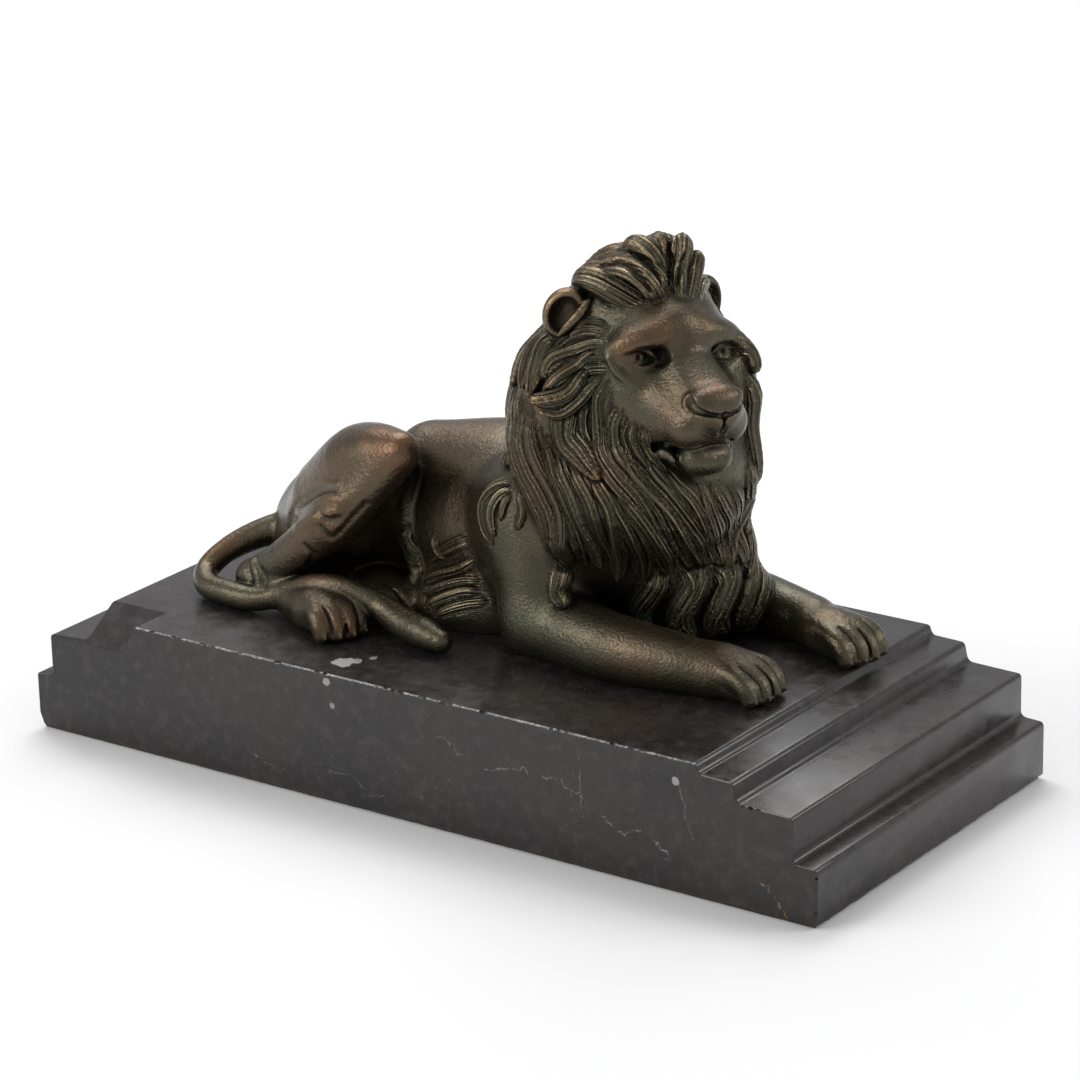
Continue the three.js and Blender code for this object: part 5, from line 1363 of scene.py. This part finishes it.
def felt_mesh():
    rng = np.random.default_rng(5)
    (x0, y0, z0), (x1, y1, z1) = FELT
    corners = [(x0, y0), (x1, y0), (x1, y1), (x0, y1)]
    rim = []
    for i, corner in enumerate(corners):
        nxt = corners[(i + 1) % 4]
        steps = int(np.hypot(nxt[0] - corner[0], nxt[1] - corner[1]) / 2.5)
        rim += [mix(np.array(corner), np.array(nxt), k / steps) for k in range(steps)]
    rim = np.array(rim)
    inward = -rim / np.linalg.norm(rim, axis=1, keepdims=True)
    bm = bmesh.new()
    rows = []
    for z, inset in ((z0, 0.5), (z0 + 0.25, 0.1), (z1 - 0.2, 0.0), (z1, 0.3)):
        fray = rng.uniform(0, 0.35, len(rim)) + inset
        spots = rim + inward * fray[:, None]
        rows.append([bm.verts.new(Vector((x, y, z)) * MM) for x, y in spots])
    for a, b in zip(rows, rows[1:]):
        for i in range(len(rim)):
            j = (i + 1) % len(rim)
            bm.faces.new((a[i], a[j], b[j], b[i]))
    bm.faces.new(rows[0][::-1])
    bm.faces.new(rows[-1])
    bmesh.ops.recalc_face_normals(bm, faces=bm.faces)
    return bm


felt = object_of(felt_mesh(), "felt")
print("felt", len(felt.data.polygons), "faces")

# %% [markdown]
# # Materials
#
# Blender mixes light in linear values, so a colour read off a screen as sRGB is turned to linear
# first. Each material is a small tree of nodes, and one helper adds a node with its settings and
# links.

# %% Colour and node helpers
def colour(code):
    parts = [int(code[i:i + 2], 16) / 255 for i in (1, 3, 5)]
    return (*[p / 12.92 if p <= 0.04045 else ((p + 0.055) / 1.055) ** 2.4 for p in parts], 1)


def add(tree, kind, inputs=None, out=0, **settings):
    """One node. An input that is a socket is linked, and any other is set. Returns one output."""
    node = tree.nodes.new(kind)
    for name, value in settings.items():
        setattr(node, name, value)
    for key, value in (inputs or {}).items():
        if isinstance(value, bpy.types.NodeSocket):
            tree.links.new(value, node.inputs[key])
        else:
            node.inputs[key].default_value = value
    return node.outputs[out] if node.outputs else node


def new_material(name):
    material = bpy.data.materials.new(name)
    material.use_nodes = True
    tree = material.node_tree
    tree.nodes.clear()
    shader = add(tree, "ShaderNodeBsdfPrincipled").node
    add(tree, "ShaderNodeOutputMaterial", {"Surface": shader.outputs[0]})
    place = add(tree, "ShaderNodeTexCoord", out="Object")
    return material, tree, shader, place


def per_mm(size):
    """A texture's scale for a pattern of this many mm, since the texture space is in metres."""
    return 1 / (size * MM)


# Kinds of node, and the settings that come back
NOISE, RANGE, MIX = "ShaderNodeTexNoise", "ShaderNodeMapRange", "ShaderNodeMix"
MATH, VECTOR, BUMP = "ShaderNodeMath", "ShaderNodeVectorMath", "ShaderNodeBump"
SOFT = {"interpolation_type": "SMOOTHSTEP"}
RGBA = {"data_type": "RGBA", "out": "Result"}
TIMES = {"operation": "MULTIPLY"}
TIMES_PLUS = {"operation": "MULTIPLY_ADD"}
print("mid grey is", round(colour("#808080")[0], 3), "in linear values")

# %% [markdown]
# ## Bronze, sand or lost-wax cast, chemically patinated and waxed
#
# Liver of sulphur and iron salts turn the metal a dark olive brown, cloudy over a few centimetres
# and mottled over a few millimetres.

# %% Patina
bronze, tree, shader, place = new_material("patinated cast bronze")
textures = []
for size, detail in ((34, 3), (7, 3), (2.2, 2), (0.9, 4)):
    inputs = {"Vector": place, "Scale": per_mm(size), "Detail": detail, "Roughness": 0.55}
    textures.append(add(tree, NOISE, inputs))
cloud, mottle, pores, grain = textures
clouds = add(tree, RANGE, {"Value": cloud, "From Min": 0.36, "From Max": 0.62}, **SOFT)
brown = add(tree, MIX, {"Factor": clouds, "A": colour("#4b483a"), "B": colour("#544b3c")}, **RGBA)
mottles = add(tree, RANGE, {"Value": mottle, "From Min": 0.4, "From Max": 0.68, "To Max": 0.5}, **SOFT)
patina = add(tree, MIX, {"Factor": mottles, "A": brown, "B": colour("#3b4034")}, **RGBA)
print("patina from", len(textures), "textures")

# %% [markdown]
# Handling rubs the places that stand out: first to red-brown, then on the ridges to a pale gold. Along
# the strands of the hair, and faintly on every ridge, the same pale gold is a painted highlight.

# %% Wear and painted highlights
held = {name: add(tree, "ShaderNodeAttribute", out="Fac", attribute_name=name) for name in measures}
patchy = add(tree, RANGE, {"Value": mottle, "From Min": 0.3, "From Max": 0.62, "To Min": 0.35}, **SOFT)
touched = add(tree, MATH, {0: held["rubbed"], 1: patchy}, **TIMES)
inputs = {"Value": held["worn"], "From Min": -0.5, "From Max": 0.8, "To Min": 0.26, "To Max": 0.75}
thinned_patina = add(tree, RANGE, inputs, **SOFT)
red = add(tree, MATH, {0: touched, 1: thinned_patina}, **TIMES)
warm = add(tree, MIX, {"Factor": red, "A": patina, "B": colour("#7d553e")}, **RGBA)
ridge = add(tree, RANGE, {"Value": held["proud"], "From Min": 0.3, "From Max": 1.2}, **SOFT)
# Painted highlight: the strands of the hair, and faintly every ridge, are coloured pale gold as if lit
painted_strand_highlight = add(tree, MATH, {0: held["hair"], 1: 0.36, 2: 0.1}, **TIMES_PLUS)
rub_and_highlight = add(tree, MATH, {0: touched, 1: 0.75, 2: painted_strand_highlight}, **TIMES_PLUS)
bare_and_highlit = add(tree, MATH, {0: ridge, 1: rub_and_highlight}, **TIMES)
# The pale gold is real wear where hands rub, and painted highlight along the strands and ridges
worn = add(tree, MIX, {"Factor": bare_and_highlit, "A": warm, "B": colour("#b09c78")}, **RGBA)
print("worn by", ", ".join(held))

# %% [markdown]
# Painted shade turns the grooves and the deep hollows nearly black, and a little green patina stays
# in the folds.

# %% Painted shade and green
# Painted shade: the grooves and the deep hollows are darkened nearly black in the colour
groove_shade = add(tree, RANGE, {"Value": held["proud"], "From Min": -0.2, "From Max": -1.1, "To Max": 0.9}, **SOFT)
hollow = add(tree, RANGE, {"Value": held["open"], "From Min": 0.78, "From Max": 0.3, "To Max": 0.9}, **SOFT)
deep = add(tree, MATH, {0: hollow, 1: groove_shade}, operation="MAXIMUM")
shaded_hollows = add(tree, MIX, {"Factor": deep, "A": worn, "B": colour("#0f0d0a")}, **RGBA)
fold = add(tree, RANGE, {"Value": held["open"], "From Min": 0.85, "From Max": 0.5, "To Max": 0.22}, **SOFT)
bloom = add(tree, RANGE, {"Value": cloud, "From Min": 0.56, "From Max": 0.7}, **SOFT)
green = add(tree, MATH, {0: fold, 1: bloom}, **TIMES)
final = add(tree, MIX, {"Factor": green, "A": shaded_hollows, "B": colour("#2c4438")}, **RGBA)
tree.links.new(final, shader.inputs["Base Color"])
print("colour made by", len(tree.nodes), "nodes")

# %% [markdown]
# The patina is thin, so the surface still shines as metal does, softly through the wax. The relief
# holds what is finer than the mesh: the comb lines within a strand, and the skin of the casting.

# %% Shine and fine relief
shader.inputs["Metallic"].default_value = 0.85
inputs = {"Value": mottle, "From Min": 0.3, "From Max": 0.7, "To Min": 0.22, "To Max": 0.34}
waxed = add(tree, RANGE, inputs, **SOFT)
dusty = add(tree, RANGE, {"Value": held["open"], "From Min": 0.7, "From Max": 0.3, "To Max": 0.3}, **SOFT)
tree.links.new(add(tree, MATH, {0: waxed, 1: dusty}, operation="ADD"), shader.inputs["Roughness"])
angle = add(tree, MATH, {0: held["strand"], 1: 4 * np.pi}, **TIMES)
wave = add(tree, MATH, {0: angle}, operation="SINE")
comb = add(tree, MATH, {0: wave, 1: held["hair"]}, **TIMES)
skin = add(tree, MATH, {0: pores, 1: 0.25}, **TIMES)
skin = add(tree, MATH, {0: grain, 1: 0.4, 2: skin}, **TIMES_PLUS)
relief = add(tree, MATH, {0: comb, 1: 0.3, 2: skin}, **TIMES_PLUS)
bump = add(tree, BUMP, {"Strength": 0.7, "Distance": MM, "Height": relief})
tree.links.new(bump, shader.inputs["Normal"])
for piece in lion_pieces:
    piece.data.materials.append(bronze)
print("bronze on", len(lion_pieces), "pieces")

# %% [markdown]
# ## Black marble, ground and polished
#
# Black marble is a limestone full of fine carbon: nearly black, a little brown, with cloudy clots and
# patches of pale flecks of shell.

# %% Stone
marble, tree, shader, place = new_material("polished black marble")
textures = {}
for name, size, detail, rough in (
        ("cloud", 45, 4, 0.6), ("fine", 0.8, 3, 0.6), ("fleck", 1.6, 5, 0.75), ("clot", 4.5, 5, 0.65),
        ("patch", 22, 4, 0.6), ("wander", 9, 6, 0.65), ("gap", 2.6, 4, 0.7), ("ragged", 2.5, 3, 0.6),
        ("bruise", 1.2, 4, 0.6), ("haze", 9, 4, 0.6)):
    inputs = {"Vector": place, "Scale": per_mm(size), "Detail": detail, "Roughness": rough}
    textures[name] = add(tree, NOISE, inputs)
# Each layer: its texture, from where to where it comes in, how strong it gets, and its colour
stone = colour("#1d1b1b")
for name, low, high, share, shade in (
        ("cloud", 0.35, 0.65, 1.0, "#272220"), ("fine", 0.58, 0.72, 0.6, "#4a4441"),
        ("clot", 0.5, 0.64, 0.6, "#373231"), ("clot", 0.46, 0.36, 0.5, "#1c1413")):
    inputs = {"Value": textures[name], "From Min": low, "From Max": high, "To Max": share}
    mask = add(tree, RANGE, inputs, **SOFT)
    stone = add(tree, MIX, {"Factor": mask, "A": stone, "B": colour(shade)}, **RGBA)
fleck = add(tree, RANGE, {"Value": textures["fleck"], "From Min": 0.6, "From Max": 0.72}, **SOFT)
inputs = {"Value": textures["patch"], "From Min": 0.5, "From Max": 0.66, "To Max": 0.7}
patch = add(tree, RANGE, inputs, **SOFT)
shells = add(tree, MATH, {0: fleck, 1: patch}, **TIMES)
stone = add(tree, MIX, {"Factor": shells, "A": stone, "B": colour("#7d7976")}, **RGBA)
print("stone from", len(textures), "textures")

# %% [markdown]
# A few thin veins run over the near side where cracks healed with white or rust-stained calcite. Each
# is a straight line in x and z that a slow texture bends and a quick one breaks up.

# %% Veins
# From (x, z), to (x, z), half width, all in mm, then colour and strength
VEINS = [
    ((101, 40), (108, 19), 0.25, "#8a6a4c", 0.75), ((128, 11), (141, 1), 0.3, "#9a7a52", 0.75),
    ((30, 25), (52, 27), 0.3, "#a9a8ac", 0.55), ((50, 29), (68, 22), 0.3, "#a9a8ac", 0.55),
    ((72, 18), (92, 16), 0.3, "#a9a8ac", 0.5), ((92, 16), (99, 9), 0.35, "#a9a8ac", 0.5),
    ((12, 31), (26, 26), 0.25, "#a9a8ac", 0.4), ((66, 38), (67, 14), 0.12, "#a9a8ac", 0.4),
    ((-66, 12), (-44, 6), 0.25, "#a9a8ac", 0.3), ((-30, 12), (-4, 4), 0.25, "#a9a8ac", 0.3),
]
WANDER = 16 * MM
FADE = 3 * MM
split = add(tree, "ShaderNodeSeparateXYZ", {0: place}).node
inputs = {0: textures["wander"], 1: WANDER, 2: -WANDER / 2}
shift = add(tree, MATH, inputs, **TIMES_PLUS)
x = add(tree, MATH, {0: shift, 1: 0.4, 2: split.outputs["X"]}, **TIMES_PLUS)
z = add(tree, MATH, {0: shift, 1: split.outputs["Z"]}, operation="ADD")
bent = add(tree, "ShaderNodeCombineXYZ", {"X": x, "Z": z})
broken = add(tree, RANGE, {"Value": textures["gap"], "From Min": 0.4, "From Max": 0.58}, **SOFT)
inputs = {"Value": split.outputs["Y"], "From Min": -66 * MM, "From Max": -67.5 * MM}
near_side = add(tree, RANGE, inputs, **SOFT)
for start, end, width, shade, share in VEINS:
    way = np.subtract(end, start) * MM
    length = float(np.linalg.norm(way))
    way = (way / length).tolist()
    from_start = add(tree, VECTOR, {0: bent, 1: (start[0] * MM, 0, start[1] * MM)}, operation="SUBTRACT")
    along = add(tree, VECTOR, {0: from_start, 1: (way[0], 0, way[1])}, out="Value", operation="DOT_PRODUCT")
    across = add(tree, VECTOR, {0: from_start, 1: (-way[1], 0, way[0])}, out="Value", operation="DOT_PRODUCT")
    off = add(tree, MATH, {0: across}, operation="ABSOLUTE")
    width *= MM
    inputs = {"Value": off, "From Min": width, "From Max": 0.3 * width, "To Max": share}
    mask = add(tree, RANGE, inputs, **SOFT)
    begun = add(tree, RANGE, {"Value": along, "From Max": FADE}, **SOFT)
    ended = add(tree, RANGE, {"Value": along, "From Min": length, "From Max": length - FADE}, **SOFT)
    for limit in (begun, ended, broken, near_side):
        mask = add(tree, MATH, {0: mask, 1: limit}, **TIMES)
    stone = add(tree, MIX, {"Factor": mask, "A": stone, "B": colour(shade)}, **RGBA)
print(len(VEINS), "veins,", len(tree.nodes), "nodes")

# %% [markdown]
# Limescale has left pale, ragged stains on the near edge and the side, and the long near edge is
# bruised white where the polish is chipped.

# %% Stains and bruises
# Centre, size in mm, strength
STAINS = [
    ((-30.5, -57.5, 43.7), 4.2, 0.75), ((-27, -54, 43.7), 2.4, 0.6), ((-24.5, -49.5, 43.7), 1.6, 0.5),
    ((-29, -67.5, 41), 1.5, 0.5), ((-27, -68, 33.5), 1.2, 0.4), ((101, -68, 36.5), 1.7, 0.5),
]
for centre, size, share in STAINS:
    size *= MM
    far = add(tree, VECTOR, {0: place, 1: [c * MM for c in centre]}, out="Value", operation="DISTANCE")
    edge = add(tree, MATH, {0: textures["ragged"], 1: 1.6 * size, 2: far}, **TIMES_PLUS)
    inputs = {"Value": edge, "From Min": 1.72 * size, "From Max": 1.6 * size, "To Max": share}
    mask = add(tree, RANGE, inputs, **SOFT)
    stone = add(tree, MIX, {"Factor": mask, "A": stone, "B": colour("#b9b5b0")}, **RGBA)
flat = add(tree, VECTOR, {0: place, 1: (0, 1, 1)}, operation="MULTIPLY")
rim = add(tree, VECTOR, {0: flat, 1: (0, -HALF_WIDTH * MM, TOP * MM)}, out="Value", operation="DISTANCE")
inputs = {"Value": rim, "From Min": 0.8 * MM, "From Max": 0.3 * MM, "To Max": 0.65}
at_rim = add(tree, RANGE, inputs, **SOFT)
chipped = add(tree, RANGE, {"Value": textures["bruise"], "From Min": 0.48, "From Max": 0.62}, **SOFT)
bruised = add(tree, MATH, {0: at_rim, 1: chipped}, **TIMES)
stone = add(tree, MIX, {"Factor": bruised, "A": stone, "B": colour("#96918a")}, **RGBA)
tree.links.new(stone, shader.inputs["Base Color"])
print(len(STAINS), "stains")

# %% [markdown]
# Calcite takes a polish, and the treads mirror the room at a low angle. The polish is a little uneven,
# and the finest grain just roughens it.

# %% Polish
shader.inputs["IOR"].default_value = 1.49
inputs = {"Value": textures["haze"], "From Min": 0.3, "From Max": 0.7, "To Min": 0.24, "To Max": 0.36}
tree.links.new(add(tree, RANGE, inputs, **SOFT), shader.inputs["Roughness"])
bump = add(tree, BUMP, {"Strength": 0.1, "Distance": 0.1 * MM, "Height": textures["fine"]})
tree.links.new(bump, shader.inputs["Normal"])
marble_block.data.materials.clear()
marble_block.data.materials.append(marble)
print("marble made of", len(tree.nodes), "nodes")

# %% [markdown]
# ## Pressed wool felt
#
# Felt is matted wool: it has no weave, drinks light, and has a faint paler bloom of loose fibre,
# which is what sheen stands for.

# %% Felt material
wool, tree, shader, place = new_material("pressed wool felt")
fibre = add(tree, NOISE, {"Vector": place, "Scale": per_mm(0.5), "Detail": 4})
shade = add(tree, MIX, {"Factor": fibre, "A": colour("#14110d"), "B": colour("#3f3520")}, **RGBA)
tree.links.new(shade, shader.inputs["Base Color"])
shader.inputs["Roughness"].default_value = 0.95
shader.inputs["Sheen Weight"].default_value = 0.3
bump = add(tree, BUMP, {"Strength": 0.8, "Distance": 0.3 * MM, "Height": fibre})
tree.links.new(bump, shader.inputs["Normal"])
felt.data.materials.append(wool)
print("felt made of", len(tree.nodes), "nodes")

# %% [markdown]
# # The studio
#
# The photo is a plain packshot: a white table that fades into a white wall. A roll of paper does
# that: it lies flat under the lion and curves up behind it, so that no horizon shows.

# %% Paper floor
BEND_START, BEND_RADIUS, BEND_STEPS = 2.2, 1.2, 24
PAPER_NEAR, PAPER_TOP, PAPER_HALF_WIDTH = -4.0, 4.0, 5
# The ground directions of the camera's view: away from it, and across the picture
AWAY, ACROSS = Vector((-0.5817, 0.8134, 0)), Vector((0.8134, 0.5817, 0))


def floor_mesh():
    """A sheet in metres that lies flat and then curves up."""
    bm = bmesh.new()
    line = [(PAPER_NEAR, 0.0)]
    for k in range(BEND_STEPS + 1):
        angle = k / BEND_STEPS * np.pi / 2
        line.append((BEND_START + BEND_RADIUS * np.sin(angle), BEND_RADIUS * (1 - np.cos(angle))))
    line.append((BEND_START + BEND_RADIUS, PAPER_TOP))
    loops = []
    for d, z in line:
        spots = [AWAY * d + ACROSS * s + Vector((0, 0, z)) for s in (-PAPER_HALF_WIDTH, PAPER_HALF_WIDTH)]
        loops.append([bm.verts.new(spot) for spot in spots])
    for a, b in zip(loops, loops[1:]):
        bm.faces.new((a[0], a[1], b[1], b[0]))
    return bm


floor = object_of(floor_mesh(), "floor")
for polygon in floor.data.polygons:
    polygon.use_smooth = True
paper, tree, shader, place = new_material("matt white paper")
shader.inputs["Base Color"].default_value = colour("#dcdcdd")
shader.inputs["Roughness"].default_value = 0.9
floor.data.materials.append(paper)
print("floor", len(floor.data.polygons), "faces")

# %% [markdown]
# One large soft light stands high behind on the left, a smaller one at the side, and a third fills
# from the front. A white room fills the rest of the shadows. All lights are soft boxes, because
# polished metal shows the shape of a lamp.

# %% Lights and air
LOOK_AT = (0, 0, 0.08)


def area_light(name, place, size, watts):
    data = bpy.data.lights.new(name, "AREA")
    data.shape = "RECTANGLE"
    data.size, data.size_y = size
    data.energy = watts
    lamp = bpy.data.objects.new(name, data)
    lamp.location = place
    lamp.rotation_euler = (Vector(LOOK_AT) - Vector(place)).to_track_quat("-Z", "Y").to_euler()
    bpy.context.scene.collection.objects.link(lamp)


# Name, place and size in metres, watts
LIGHTS = [
    ("high soft box", (-0.65, 0.7, 1.5), (1.3, 1.0), 23),
    ("side soft box", (1.2, 0.7, 0.9), (0.8, 0.6), 8),
    ("front fill", (-1.0, -1.4, 1.0), (1.3, 0.9), 19),
]
for light in LIGHTS:
    area_light(*light)
world = bpy.data.worlds.new("white room")
world.use_nodes = True
air = world.node_tree.nodes["Background"].inputs
air["Color"].default_value = (1, 1, 1, 1)
air["Strength"].default_value = 0.6
bpy.context.scene.world = world
bpy.context.scene.view_settings.view_transform = "Standard"
print(len(LIGHTS), "lights")

# %% [markdown]
# # Tie the pieces to the frame
#
# Each piece rides on the body it moves with, and the plain solid it stands for is hidden. The lion
# has no joint, so everything rides on the one body.

# %% Ride, and hide the plain solids
for piece in lion_pieces:
    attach(piece, "root")
    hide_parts("lion")
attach(marble_block, "root")
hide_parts("marble_base")
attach(felt, "root")
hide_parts("felt_pad")
